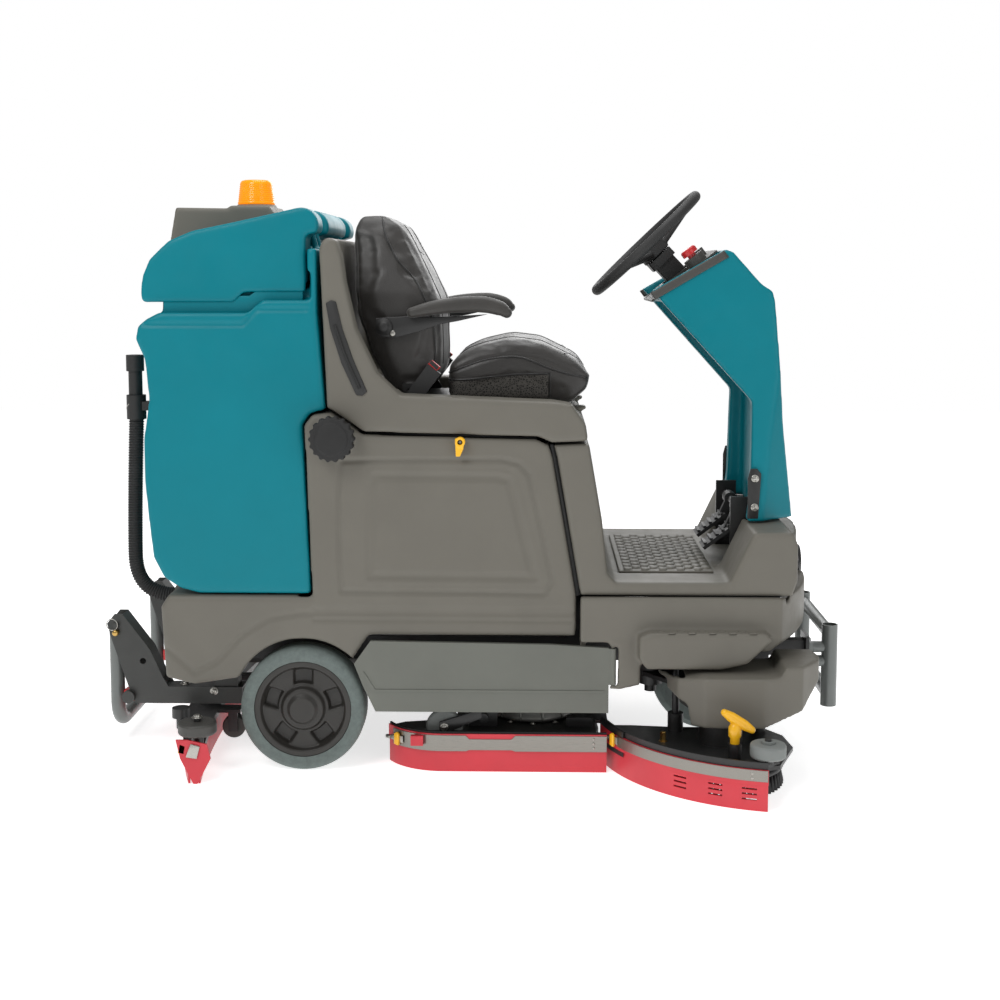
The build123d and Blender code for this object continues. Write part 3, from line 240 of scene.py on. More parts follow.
def mesh_cloth(name, colour):
    """Open net of the seat's side pocket."""
    n = Nodes(name)
    cells = n.add("ShaderNodeTexVoronoi", Scale=190.0)
    cells.feature = "DISTANCE_TO_EDGE"
    n.link(n.place, cells.inputs["Vector"])
    n.paint(n.ramp(cells.outputs["Distance"], [(0.12, shade(colour, 2.2)), (0.2, shade(colour, 0.35))]))
    n.put("Roughness", 0.8)
    n.bump((cells.outputs["Distance"], 0.0012, 0.8))
    return n.material


def see_through(name, colour, rough=0.12, transmission=0.75, glow=0.0):
    """Coloured clear plastic with moulded flutes."""
    n = Nodes(name)
    n.paint(n.ramp(n.noise(30.0), [(0.3, shade(colour, 0.9)), (0.7, colour)]))
    n.put("Roughness", rough)
    n.put("Transmission Weight", transmission)
    n.put("IOR", 1.45)
    n.put("Emission Color", (*colour, 1))
    n.put("Emission Strength", glow)
    n.bump((n.noise(300.0), 0.0002, 0.1))
    return n.material


TEAL = moulded("teal_plastic", srgb(0, 119, 132), 0.4, grain=0.7, spread=0.04, shine=0.22)
GREY = moulded("grey_plastic", srgb(106, 103, 95), 0.5, grain=1.2, spread=0.05, shine=0.35)
DARK_GREY = moulded("dark_grey_plastic", srgb(66, 65, 62), 0.5)
BLACK = moulded("black_plastic", srgb(34, 34, 34), 0.48)
GLOSS_BLACK = moulded("gloss_black", srgb(24, 24, 25), 0.25, grain=0.4, coat=0.3)
SKIRT = moulded("skirt_paint", srgb(99, 101, 94), 0.45, grain=1.0, metallic=0.1)
PAINT = moulded("frame_paint", srgb(58, 59, 57), 0.45, grain=0.8, metallic=0.1)
BLACK_PAINT = moulded("black_paint", srgb(30, 30, 30), 0.4, grain=0.6, coat=0.1)
TUBE_PAINT = moulded("tube_paint", srgb(104, 108, 106), 0.34, grain=0.5, metallic=0.25, coat=0.2)
YELLOW = moulded("yellow_plastic", srgb(246, 184, 24), 0.35, grain=0.5, coat=0.2)
RED = moulded("red_plastic", srgb(205, 30, 34), 0.3, grain=0.4, coat=0.25)
URETHANE = moulded("red_urethane", srgb(203, 50, 62), 0.42, grain=0.8, spread=0.09, grain_scale=700)
VINYL = vinyl("seat_vinyl", srgb(43, 41, 39))
PIPING = vinyl("seat_piping", srgb(27, 26, 25), 0.35)
PAD = vinyl("armrest_skin", srgb(50, 48, 45), 0.5)
NET = mesh_cloth("pocket_net", srgb(52, 50, 47))
RUBBER = moulded("black_rubber", srgb(30, 30, 30), 0.7, grain=1.4, grain_scale=600)
TYRE = tyre_rubber("grey_tyre", srgb(98, 108, 105))
HUB = moulded("hub_paint", srgb(44, 42, 39), 0.42, grain=0.8, metallic=0.1)
STEEL = metal("steel_band", srgb(140, 137, 131), 0.33)
ZINC = metal("zinc", srgb(172, 170, 164), 0.28, streak=(30.0, 30.0, 30.0))
BRASS = metal("brass", srgb(196, 160, 92), 0.3, streak=(30.0, 30.0, 30.0))
CAST = metal("motor_casting", srgb(150, 150, 146), 0.48, streak=(20.0, 20.0, 20.0))
BRISTLE = moulded("bristle", srgb(22, 22, 23), 0.5, grain=0.3)
AMBER = see_through("amber", srgb(255, 170, 14), 0.16, 0.45, glow=0.35)
CLEAR = see_through("lamp_glass", srgb(225, 230, 232), 0.06, 0.85)
GRIP = moulded("grip_foam", srgb(38, 38, 38), 0.62, grain=1.4, grain_scale=900)
ROLLER = moulded("roller", srgb(118, 122, 120), 0.6, grain=1.0)


# ------------ mesh building blocks
def new_object(name, mesh, material):
    mesh.materials.clear()
    mesh.materials.append(material)
    mesh.polygons.foreach_set("use_smooth", [True] * len(mesh.polygons))
    piece = bpy.data.objects.new(name, mesh)
    scene.collection.objects.link(piece)
    return piece


def finished(made, name, material, recalculate=True, flat=False):
    """Turns a bmesh into a piece."""
    if recalculate:
        bmesh.ops.recalc_face_normals(made, faces=made.faces)
    mesh = bpy.data.meshes.new(name)
    made.to_mesh(mesh)
    made.free()
    piece = new_object(name, mesh, material)
    if flat:
        mesh.polygons.foreach_set("use_smooth", [False] * len(mesh.polygons))
    return piece


def bridged(made, rings):
    """Joins each ring of vertices to the next with quads."""
    for one, two in zip(rings, rings[1:]):
        count = len(one)
        for k in range(count):
            made.faces.new((one[k], one[(k + 1) % count], two[(k + 1) % count], two[k]))


def capped(made, rings):
    made.faces.new(rings[0])
    made.faces.new(rings[-1])


def around(count):
    """Equal steps of angle round a circle."""
    return [2 * math.pi * k / count for k in range(count)]


def applied(piece):
    """Bakes a piece's modifiers into its mesh."""
    bpy.context.view_layer.update()
    graph = bpy.context.evaluated_depsgraph_get()
    mesh = bpy.data.meshes.new_from_object(piece.evaluated_get(graph))
    piece.modifiers.clear()
    piece.data = mesh
    return piece


def add_modifier(piece, kind, **settings):
    modifier = piece.modifiers.new(kind.lower(), kind)
    for key, value in settings.items():
        setattr(modifier, key, value)
    return modifier


def settle(piece, body, slot_name, *replaced):
    """Rides a finished piece on its body and hides the CAD nodes it stands for. slot_name is not used."""
    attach(piece, body)
    if replaced:
        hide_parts(*replaced)
    return piece


def softened(node, name, material, voxel, rounds):
    """A moulded copy of a CAD node: remeshed evenly, with its edges rounded off by smoothing."""
    piece = new_object(name, nodes[node].data.copy(), material)
    add_modifier(piece, "REMESH", mode="VOXEL", voxel_size=voxel / 1000, use_smooth_shade=True)
    add_modifier(piece, "SMOOTH", factor=0.5, iterations=rounds)
    return applied(piece)


def points_of(piece):
    count = len(piece.data.vertices)
    flat = np.empty(count * 3, np.float32)
    piece.data.vertices.foreach_get("co", flat)
    return flat.reshape(-1, 3).astype(float)


def put_points(piece, points):
    piece.data.vertices.foreach_set("co", points.astype(np.float32).ravel())
    piece.data.update()


def distance_to_line(points, line, closed=False):
    """Distance of 2-D points to a polyline, all in millimetres."""
    line = np.array(line + line[:1] if closed else line, float)
    best = np.full(len(points), 1e9)
    for a, b in zip(line[:-1], line[1:]):
        run = b - a
        t = np.clip(((points - a) @ run) / max(run @ run, 1e-9), 0, 1)
        best = np.minimum(best, np.linalg.norm(points - (a + t[:, None] * run), axis=1))
    return best


def inside(points, polygon):
    polygon = np.array(polygon, float)
    result = np.zeros(len(points), bool)
    x, y = points[:, 0], points[:, 1]
    for (x0, y0), (x1, y1) in zip(polygon, np.roll(polygon, -1, axis=0)):
        if y0 == y1:
            continue
        crosses = ((y0 > y) != (y1 > y)) & (x < (x1 - x0) * (y - y0) / (y1 - y0) + x0)
        result ^= crosses
    return result


def side_view(points):
    """Row-frame points to machine (x, z) and y, in millimetres."""
    machine = (points - np.array([ORIGIN_X, ORIGIN_Y, 0])) * 1000
    return machine[:, [0, 2]], machine[:, 1]


def groove(piece, line, half_width, depth, beyond, closed=False):
    """Presses a smooth groove along a side-view line into the faces beyond that |y|."""
    points = points_of(piece)
    flat, y = side_view(points)
    near = np.clip(1 - (distance_to_line(flat, line, closed) / half_width) ** 2, 0, 1)
    for side in (-1, 1):
        on_side = side * y > beyond
        points[on_side, 1] -= side * depth / 1000 * near[on_side]
    put_points(piece, points)


def tube(name, path, radius, material, sides=10, closed=False):
    """A tube along row-frame points; radius is one number or one per point."""
    path = [Vector(p) for p in path]
    count = len(path)
    radii = radius if hasattr(radius, "__len__") else [radius] * count
    made = bmesh.new()
    rings = []
    normal = None
    for i, point in enumerate(path):
        ahead = path[(i + 1) % count] if closed or i < count - 1 else path[i]
        behind = path[i - 1] if closed or i > 0 else path[i]
        run = (ahead - behind).normalized()
        if normal is None:
            normal = run.orthogonal().normalized()
        normal = (normal - run * normal.dot(run)).normalized()
        across = run.cross(normal)
        rings.append([made.verts.new(point + radii[i] * (math.cos(a) * normal + math.sin(a) * across))
                      for a in around(sides)])
    bridged(made, rings + rings[:1] if closed else rings)
    if not closed:
        capped(made, rings)
    return finished(made, name, material)


def turned(name, profile, centre, axis, material, steps=72):
    """A lathed piece: profile is (radius, along) in millimetres about an axis through a machine point."""
    made = bmesh.new()
    turn = Vector(UP).rotation_difference(Vector(axis)).to_matrix()
    base = spot(*centre)
    rings = []
    for radius, along in profile:
        if radius < 0.01:
            rings.append([made.verts.new(base + turn @ Vector((0, 0, along / 1000)))])
        else:
            circle = [Vector((radius * math.cos(a), radius * math.sin(a), along)) for a in around(steps)]
            rings.append([made.verts.new(base + turn @ place / 1000) for place in circle])
    for one, two in zip(rings, rings[1:]):
        for k in range(steps):
            corners = [one[k % len(one)], one[(k + 1) % len(one)], two[(k + 1) % len(two)], two[k % len(two)]]
            corners = list(dict.fromkeys(corners))
            if len(corners) > 2:
                made.faces.new(corners)
    return finished(made, name, material)


def joined(name, pieces):
    """Joins pieces, each keeping its own material."""
    made = bmesh.new()
    mesh = bpy.data.meshes.new(name)
    materials = []
    for piece in pieces:
        material = piece.data.materials[0]
        if material not in materials:
            materials.append(material)
        start = len(made.faces)
        copy = piece.data.copy()
        copy.transform(piece.matrix_world)
        made.from_mesh(copy)
        made.faces.ensure_lookup_table()
        for face in made.faces[start:]:
            face.material_index = materials.index(material)
        bpy.data.meshes.remove(copy)
        bpy.data.objects.remove(piece)
    made.to_mesh(mesh)
    made.free()
    for material in materials:
        mesh.materials.append(material)
    mesh.polygons.foreach_set("use_smooth", [True] * len(mesh.polygons))
    piece = bpy.data.objects.new(name, mesh)
    scene.collection.objects.link(piece)
    return piece


def plate(name, outline, thickness, origin, x_axis, y_axis, material, bevel=1.0):
    """A bevelled flat plate: outline in millimetres on the plane of the two axes, grown along their normal."""
    x_axis, y_axis = Vector(x_axis).normalized(), Vector(y_axis).normalized()
    normal = x_axis.cross(y_axis)
    base = spot(*origin)
    made = bmesh.new()
    low = [made.verts.new(base + (x_axis * u + y_axis * v) / 1000) for u, v in outline]
    face = made.faces.new(low)
    grown = bmesh.ops.extrude_face_region(made, geom=[face])
    bmesh.ops.translate(made, vec=normal * thickness / 1000,
                        verts=[v for v in grown["geom"] if isinstance(v, bmesh.types.BMVert)])
    bmesh.ops.recalc_face_normals(made, faces=made.faces)
    if bevel:
        bmesh.ops.bevel(made, geom=list(made.edges), offset=bevel / 1000, segments=2, profile=0.6,
                        affect="EDGES", clamp_overlap=True)
    return finished(made, name, material, recalculate=False)


def side_plate(name, outline, thickness, y, material, bevel=1.0):
    """A flat plate drawn in the side view, centred on y."""
    return plate(name, outline, thickness, (0, y + thickness / 2, 0), FORWARD, UP, material, bevel)


def bolt(name, place, axis, radius, material, height=0.6):
    """A hexagon bolt head on its washer."""
    turn = Vector(UP).rotation_difference(Vector(axis)).to_matrix()
    base = spot(*place)
    made = bmesh.new()

    def ring(sides, reach, rise):
        return [made.verts.new(base + turn @ Vector((radius * reach * math.cos(a), radius * reach * math.sin(a),
                                                     radius * rise)) / 1000) for a in around(sides)]

    washer = [ring(32, reach, rise) for reach, rise in ((1.5, 0), (1.5, 0.16), (1.06, 0.18))]
    bridged(made, washer)
    head = [ring(6, reach, rise) for reach, rise in ((1.0, 0.17), (1.0, height), (0.86, height + 0.12))]
    bridged(made, head)
    made.faces.new(head[-1])
    capped(made, washer)
    return finished(made, name, material, flat=True)


def curved(points, per=8):
    """A smooth line through the given points (Catmull-Rom), with per steps to each run."""
    points = [np.array(p, float) for p in points]
    padded = [2 * points[0] - points[1]] + points + [2 * points[-1] - points[-2]]
    result = []
    for a, b, c, d in zip(padded, padded[1:], padded[2:], padded[3:]):
        for t in np.arange(per) / per:
            result.append(0.5 * (2 * b + (c - a) * t + (2 * a - 5 * b + 4 * c - d) * t * t
                                 + (3 * b - a - 3 * c + d) * t ** 3))
    return result + [points[-1]]


OUTSIDE = 420                # a distance out from the middle plane that clears the seat


def laid_on(piece, points, toward, lift):
    """Machine points thrown along a direction onto a piece, then lifted off its surface."""
    made = bmesh.new()
    made.from_mesh(piece.data)
    tree = BVHTree.FromBMesh(made)
    made.free()
    toward = Vector(toward).normalized()
    result = []
    for point in points:
        start = spot(*point)
        hit, normal, _, _ = tree.ray_cast(start, toward)
        if hit is None:
            hit, normal, _, _ = tree.find_nearest(start + toward * 0.15)
        if normal.dot(toward) > 0:
            normal = -normal
        result.append(hit + normal * lift / 1000)
    return result


def seam(name, piece, points, toward, radius, body, lift=0.0):
    """Piping or a raised thread sewn along a line thrown onto a finished piece."""
    line_points = laid_on(piece, curved(points), toward, lift)
    return settle(tube(name, line_points, radius / 1000, PIPING, sides=8), body, "vinyl")


def patch(name, piece, outline, side, lift, step, material):
    """A thin panel laid on one side of a piece, inside a side-view outline."""
    xs = np.arange(min(p[0] for p in outline), max(p[0] for p in outline) + step, step)
    zs = np.arange(min(p[1] for p in outline), max(p[1] for p in outline) + step, step)
    cells = [(x, z) for x in xs for z in zs]
    keep = inside(np.array(cells), outline)
    used = [cell for cell, wanted in zip(cells, keep) if wanted]
    places = laid_on(piece, [(x, side * OUTSIDE, z) for x, z in used], (0, -side, 0), lift)
    made = bmesh.new()
    verts = {cell: made.verts.new(place) for cell, place in zip(used, places)}
    for i in range(len(xs) - 1):
        for j in range(len(zs) - 1):
            corners = [(xs[i], zs[j]), (xs[i + 1], zs[j]), (xs[i + 1], zs[j + 1]), (xs[i], zs[j + 1])]
            if all(corner in verts for corner in corners):
                made.faces.new([verts[corner] for corner in corners])
    for vert in [v for v in made.verts if not v.link_faces]:
        made.verts.remove(vert)
    panel = finished(made, name, material, recalculate=False)
    add_modifier(panel, "SOLIDIFY", thickness=0.0012, offset=0)
    return applied(panel)


def bar(name, centres, half_width, half_heights, material, steps=28, squareness=2.8):
    """A padded bar along side-view centres, with a rounded-square section and rounded ends."""
    path = curved(centres, 6)
    heights = np.interp(np.linspace(0, 1, len(path)), np.linspace(0, 1, len(half_heights)), half_heights)
    stations = []
    for i, centre in enumerate(path):
        run = path[min(i + 1, len(path) - 1)] - path[max(i - 1, 0)]
        run = run / np.linalg.norm(run)
        stations.append((centre, run, heights[i], 1.0))
    caps = [math.radians(a) for a in (78, 60, 42, 24)]
    first, last = stations[0], stations[-1]
    lead = [(first[0] - first[1] * first[2] * math.sin(a), first[1], first[2], math.cos(a)) for a in caps]
    tail = [(last[0] + last[1] * last[2] * math.sin(a), last[1], last[2], math.cos(a)) for a in reversed(caps)]
    made = bmesh.new()
    rings = []
    for centre, run, height, shrink in lead + stations + tail:
        up = np.array([-run[2], 0, run[0]])
        ring = []
        for a in around(steps):
            c, s = math.cos(a), math.sin(a)
            across = half_width * shrink * math.copysign(abs(c) ** (2 / squareness), c)
            rise = height * shrink * math.copysign(abs(s) ** (2 / squareness), s)
            ring.append(made.verts.new(spot(*(centre + up * rise + np.array([0, across, 0])))))
        rings.append(ring)
    bridged(made, rings)
    capped(made, rings)
    return finished(made, name, material)


def ribbon(name, plan, low, high, offset, thickness, material, flip=-1):
    """An upright band beside a plan-view line; low and high are one number or one per point."""
    count = len(plan)
    lows = low if hasattr(low, "__len__") else [low] * count
    highs = high if hasattr(high, "__len__") else [high] * count
    made = bmesh.new()
    rings = []
    for i, point in enumerate(plan):
        run = np.array(plan[min(i + 1, count - 1)], float) - np.array(plan[max(i - 1, 0)], float)
        out = flip * np.array([-run[1], run[0]]) / np.linalg.norm(run)
        near, far = np.array(point) + out * offset, np.array(point) + out * (offset + thickness)
        rings.append([made.verts.new(spot(*near, lows[i])), made.verts.new(spot(*far, lows[i])),
                      made.verts.new(spot(*far, highs[i])), made.verts.new(spot(*near, highs[i]))])
    bridged(made, rings)
    capped(made, rings)
    band = finished(made, name, material, flat=True)
    add_modifier(band, "BEVEL", width=0.0004, segments=1, limit_method="ANGLE", angle_limit=math.radians(40))
    return applied(band)


def arc_points(start, through, end, count):
    """Evenly spaced points on the circle arc through three plan-view points."""
    (ax, ay), (bx, by), (cx, cy) = start, through, end
    d = 2 * (ax * (by - cy) + bx * (cy - ay) + cx * (ay - by))
    aa, bb, cc = ax ** 2 + ay ** 2, bx ** 2 + by ** 2, cx ** 2 + cy ** 2
    ux = (aa * (by - cy) + bb * (cy - ay) + cc * (ay - by)) / d
    uy = (aa * (cx - bx) + bb * (ax - cx) + cc * (bx - ax)) / d
    radius = math.hypot(ax - ux, ay - uy)
    first = math.atan2(ay - uy, ax - ux)
    mid = (math.atan2(by - uy, bx - ux) - first + math.pi) % (2 * math.pi) - math.pi
    full = (math.atan2(cy - uy, cx - ux) - first) % (2 * math.pi)
    if mid < 0:
        full -= 2 * math.pi
    return [(ux + radius * math.cos(first + full * k / (count - 1)),
             uy + radius * math.sin(first + full * k / (count - 1))) for k in range(count)]


def smooth(value, low, high):
    t = np.clip((value - low) / (high - low), 0, 1)
    return t * t * (3 - 2 * t)


# ------------ the cord: drain hose
HOSE_POINTS = [(-350, -200, 392), (-449, -200, 392), (-449, -200, 600), (-438, -200, 850)]
route = bpy.data.curves.new("hose_route", "CURVE")
route.dimensions = "3D"
line = route.splines.new("NURBS")
line.points.add(len(HOSE_POINTS) - 1)
for point, place in zip(line.points, HOSE_POINTS):
    point.co = (*spot(*place), 1)
line.order_u = 3
line.use_endpoint_u = True
line.resolution_u = 40
route_object = bpy.data.objects.new("hose_route", route)
scene.collection.objects.link(route_object)
bpy.context.view_layer.update()
graph = bpy.context.evaluated_depsgraph_get()
sampled = bpy.data.meshes.new_from_object(route_object.evaluated_get(graph))
hose_line = [v.co.copy() for v in sampled.vertices]
bpy.data.objects.remove(route_object)


def resampled(line_points, step):
    """Evenly spaced points along a polyline."""
    result, carry = [line_points[0].copy()], 0.0
    for a, b in zip(line_points, line_points[1:]):
        length = (b - a).length
        while carry + length >= step:
            a = a.lerp(b, (step - carry) / length)
            length = (b - a).length
            result.append(a.copy())
            carry = 0.0
        carry += length
    return result


HOSE_STEP, HOSE_PITCH = 0.0011, 0.0066
fine = resampled(hose_line, HOSE_STEP)
radii = [0.0178 + 0.0012 * math.cos(2 * math.pi * i * HOSE_STEP / HOSE_PITCH) for i in range(len(fine))]
hose = tube("drain_hose_corrugated", fine, radii, RUBBER, sides=28)
settle(hose, "chassis", "black_rubber", "drain_hose")

# ------------ materials of the carried-over nodes
LOOKS = {
    "main_frame": BLACK_PAINT, "tail_brackets": PAINT, "squeegee_arm": BLACK_PAINT, "side_arm": BLACK_PAINT,
    "instrument_panel": DARK_GREY, "tilt_yoke": BLACK, "batteries": BLACK, "hose_fittings": BLACK,
    "platform_mat": RUBBER, "front_tyre": TYRE, "front_hub": HUB, "drive_fork": HUB,
    "horn_button": GLOSS_BLACK, "stop_button": RED, "accelerator_pedal": BLACK, "brake_pedal": BLACK,
    "seat_pan": BLACK_PAINT, "belt_buckles": BLACK, "headlight": GLOSS_BLACK, "skirt_door_right": SKIRT,
    "skirt_door_left": SKIRT, "front_bumper": TUBE_PAINT, "rear_guard": TUBE_PAINT, "scrub_deck": BLACK_PAINT,
    "side_deck": BLACK_PAINT, "squeegee_frame": BLACK_PAINT, "side_squeegees": URETHANE,
    "side_squeegee": URETHANE, "squeegee_blades": URETHANE, "side_roller": ROLLER, "roller_right": DARK_GREY,
    "roller_left": DARK_GREY, "caster_right": DARK_GREY, "caster_left": DARK_GREY, "beacon_lens": AMBER,
    "rear_hub_right": HUB, "rear_hub_left": HUB,
}
for node, look in LOOKS.items():
    nodes[node].data.materials.clear()
    nodes[node].data.materials.append(look)
for node in ("main_frame", "tail_brackets", "squeegee_arm", "side_arm", "tilt_yoke", "batteries",
             "accelerator_pedal", "brake_pedal", "instrument_panel", "skirt_door_right", "skirt_door_left",
             "scrub_deck", "side_deck", "belt_buckles", "rear_hub_right", "rear_hub_left", "side_squeegees",
             "side_squeegee", "squeegee_frame", "squeegee_blades"):
    add_modifier(nodes[node], "BEVEL", width=0.0012, segments=2, limit_method="ANGLE",
                 angle_limit=math.radians(40), harden_normals=False)

# ------------ rotomoulded shells
FINE = 5.0
tank = softened("recovery_tank", "tank_shell", TEAL, FINE, 9)
groove(tank, [(-366, 1082), (-132, 1082), (-98, 1118), (20, 1118)], 7, 4, 330)
settle(tank, "chassis", "teal_shell", "recovery_tank")

lid = softened("tank_lid", "lid_shell", TEAL, FINE, 16)
settle(lid, "lid", "teal_shell", "tank_lid")

hood = softened("fan_housing", "hood_shell", GREY, 4.0, 5)
settle(hood, "lid", "grey_shell", "fan_housing")

body = softened("lower_body", "body_shell", GREY, FINE, 6)
PANEL_LINE = [(96, 758), (90, 610), (96, 442), (586, 438), (604, 470), (548, 726), (524, 752), (480, 762)]
groove(body, PANEL_LINE, 7, 5, 365, closed=True)
groove(body, [(172, 700), (166, 480), (560, 478), (500, 712), (470, 720), (180, 722)], 12, 4, 365, closed=True)
for z in (398, 372):
    groove(body, [(30, z), (652, z)], 6, 4, 365)
groove(body, [(-330, 300), (-262, 238), (-206, 268), (-150, 330), (-80, 374), (0, 388), (660, 388)], 8, 4, 365)
settle(body, "chassis", "grey_shell", "lower_body")

# CAD node, piece name, material, voxel in mm, rounds of smoothing, body, slot
for node, name, look, voxel, rounds, body_name, slot_name in (
        ("front_body", "platform_shell", GREY, FINE, 6, "chassis", "grey_shell"),
        ("front_fender", "fender_shell", GREY, FINE, 6, "chassis", "grey_shell"),
        ("seat_deck", "deck_shell", GREY, FINE, 6, "deck", "grey_shell"),
        ("column_cover", "column_shell", TEAL, FINE, 9, "chassis", "teal_shell"),
        ("side_cover", "side_cover_shell", GREY, 4.0, 7, "swing_arm", "grey_shell"),
        ("fill_cap", "fill_cap_ribbed", RUBBER, 2.0, 3, "cap", "black_rubber"),
        ("deck_latch", "deck_latch_lever", YELLOW, 1.5, 4, "latch", "yellow_plastic"),
        ("steering_wheel", "hand_wheel", GRIP, 2.5, 4, "hand_wheel", "grip")):
    settle(softened(node, name, look, voxel, rounds), body_name, slot_name, node)


# ------------ seat
def inflate(piece, frames, pressure, cap_mm):
    """Puffs a closed mesh with cloth pressure and keeps each point within cap_mm of where it was."""
    before = points_of(piece)
    cloth = add_modifier(piece, "CLOTH")
    cloth.settings.use_pressure = True
    cloth.settings.uniform_pressure_force = pressure
    cloth.settings.tension_stiffness = cloth.settings.compression_stiffness = 40
    cloth.settings.quality = 5
    cloth.settings.effector_weights.gravity = 0
    for number in range(1, frames + 1):
        scene.frame_set(number)
    applied(piece)
    moved = points_of(piece) - before
    length = np.maximum(np.linalg.norm(moved, axis=1), 1e-9)
    moved *= np.minimum(1, cap_mm / 1000 / length)[:, None]
    put_points(piece, before + moved)
    scene.frame_set(1)


cushion = softened("seat_cushion", "cushion_foam", VINYL, 9.0, 6)
inflate(cushion, 14, 4.0, 7)
add_modifier(cushion, "SUBSURF", levels=1, render_levels=1)
applied(cushion)
groove(cushion, [(350, 958), (424, 990), (499, 1006), (574, 998), (640, 972), (690, 944)], 5, 4, 200)
settle(cushion, "seat", "vinyl", "seat_cushion")

back = softened("seat_back", "backrest_foam", VINYL, 9.0, 6)
inflate(back, 14, 4.0, 7)
add_modifier(back, "SUBSURF", levels=1, render_levels=1)
applied(back)
settle(back, "back", "vinyl", "seat_back")

SIDE_SEAM = [(349, 959), (402, 980), (452, 994), (514, 999), (556, 988), (593, 972), (638, 958), (688, 948)]
BOLSTER_SEAM = [(181, 1340), (194, 1290), (225, 1232), (266, 1187), (293, 1134), (309, 1084), (314, 1021),
                (312, 960), (296, 925)]
PAD_LINE = [(262, 1108), (310, 1119), (372, 1127), (433, 1128), (474, 1119), (492, 1108)]
ARM_OUTLINE = [(172, 1094), (262, 1100), (300, 1096), (372, 1100), (446, 1104), (372, 1087), (330, 1080),
               (280, 1062), (226, 1048), (186, 1048), (174, 1062)]
PIVOT_PROFILE = [(0, 9), (9, 9), (12, 7), (14, 3), (20, 2), (21, 0), (21, -8), (0, -8)]
SCREW_PROFILE = [(0, 3), (5, 3), (7.5, 1.6), (8, 0), (8, -4), (0, -4)]
POCKET = [(332, 940), (400, 944), (460, 952), (530, 958), (594, 958), (594, 896), (332, 894)]
for sign, side in SIDES:
    inward, down, backward = (0, -sign, 0), (0, 0, -1), (-1, 0, 0)
    side_line = [(x, sign * OUTSIDE, z) for x, z in SIDE_SEAM]
    channel = [(x, sign * 128, 1200) for x in range(372, 690, 45)]
    corner = [(598, sign * OUTSIDE, z) for z in (962, 945, 920, 900)]
    bolster = [(x, sign * OUTSIDE, z) for x, z in BOLSTER_SEAM]
    back_line = [(600, sign * (128 - 40 * (z > 1250)), z) for z in range(1325, 950, -50)]
    seam(f"cushion_piping_{side}", cushion, side_line, inward, 2.6, "seat", 0.6)
    seam(f"cushion_channel_{side}", cushion, channel, down, 1.7, "seat")
    seam(f"cushion_corner_{side}", cushion, corner, inward, 1.8, "seat")
    seam(f"back_piping_{side}", back, bolster, inward, 2.6, "back", 0.6)
    seam(f"back_channel_{side}", back, back_line, backward, 1.8, "back")
    settle(patch(f"cushion_pocket_{side}", cushion, POCKET, sign, 2.2, 3.0, NET), "seat", "vinyl")
    hem = [(x, sign * OUTSIDE, z) for x, z in POCKET[:5]]
    seam(f"pocket_hem_{side}", cushion, hem, inward, 3.2, "seat", 2.0)
    # armrest: padded bar on its steel arm
    pad_line = [(x, sign * 281, z) for x, z in PAD_LINE]
    pad = bar(f"armrest_{side}_pad", pad_line, 21, (13, 17, 19, 20, 18, 13), PAD)
    settle(pad, f"arm_{side}", "pad", f"armrest_{side}")
    steel_arm = side_plate(f"armrest_{side}_arm", ARM_OUTLINE, 8, sign * 268, BLACK_PAINT, 1.5)
    pivot = turned(f"armrest_{side}_pivot", PIVOT_PROFILE, (192, sign * 277, 1073), (0, sign, 0), BLACK)
    screw = turned(f"armrest_{side}_screw", SCREW_PROFILE, (213, sign * 272.5, 1057), (0, sign, 0), ZINC,
                   steps=32)
    settle(joined(f"armrest_{side}_bracket", [steel_arm, pivot, screw]), f"arm_{side}", "pad")
    button = side_plate(f"buckle_button_{side}", [(299, 983), (310, 993), (331, 975), (320, 965)], 16,
                        sign * 276, RED, 2)
    settle(button, "seat", "red_plastic")
for name, height in (("back_seam_upper", 1262), ("back_seam_lower", 1090)):
    seam(name, back, [(600, y, height - 10 * math.cos(y / 60)) for y in range(-104, 105, 26)], (-1, 0, 0), 1.6,
         "back")
seam("cushion_seam_front", cushion, [(640 + 12 * math.cos(y / 100), y, 1200) for y in range(-210, 211, 35)],
     (0, 0, -1), 1.8, "seat")

# ------------ wheels
TYRE_PROFILE = [(118.05, -38), (128, -41), (138, -42), (146, -38), (151, -30), (152, -20), (152, 20), (151, 30),
                (146, 38), (138, 42), (128, 41), (118.05, 38), (118.05, -38)]


WHEEL_Y, WHEEL_RADIUS, HUB_RADIUS = 352, 152, 117.9


def hub_face(name, sign):
    """Moulded wheel centre with five pockets round a raised cap, from a height field in polar steps."""
    radii = np.concatenate([[0.5], np.arange(3, 117, 1.9), [HUB_RADIUS]])
    angles = 2 * np.pi * np.arange(180) / 180
    r, a = np.meshgrid(radii, angles, indexing="ij")
    from_pocket = np.abs((a - math.radians(90) + math.pi / 5) % (2 * math.pi / 5) - math.pi / 5)
    pocket = (1 - smooth(from_pocket * r, 20, 26)) * smooth(r, 60, 66) * (1 - smooth(r, 93, 98))
    height = 37 - 13 * (1 - smooth(r, 98, 105)) - 15 * pocket
    height = height + 13 * (1 - smooth(r, 47, 56)) + 5 * (1 - smooth(r, 34, 38)) + 4.5 * (1 - smooth(r, 30, 33))
    made = bmesh.new()
    centre = spot(0, sign * WHEEL_Y, WHEEL_RADIUS)

    def ring(radius, heights):
        places = [(radius * math.cos(t), sign * height, radius * math.sin(t)) for t, height in zip(angles, heights)]
        return [made.verts.new(centre + Vector(place) / 1000) for place in places]

    rows = [ring(radius, height[i]) for i, radius in enumerate(radii)]
    rows += [ring(HUB_RADIUS, [-36] * len(angles)), ring(60, [-30] * len(angles))]
    bridged(made, rows)
    capped(made, rows)
    return finished(made, name, HUB)


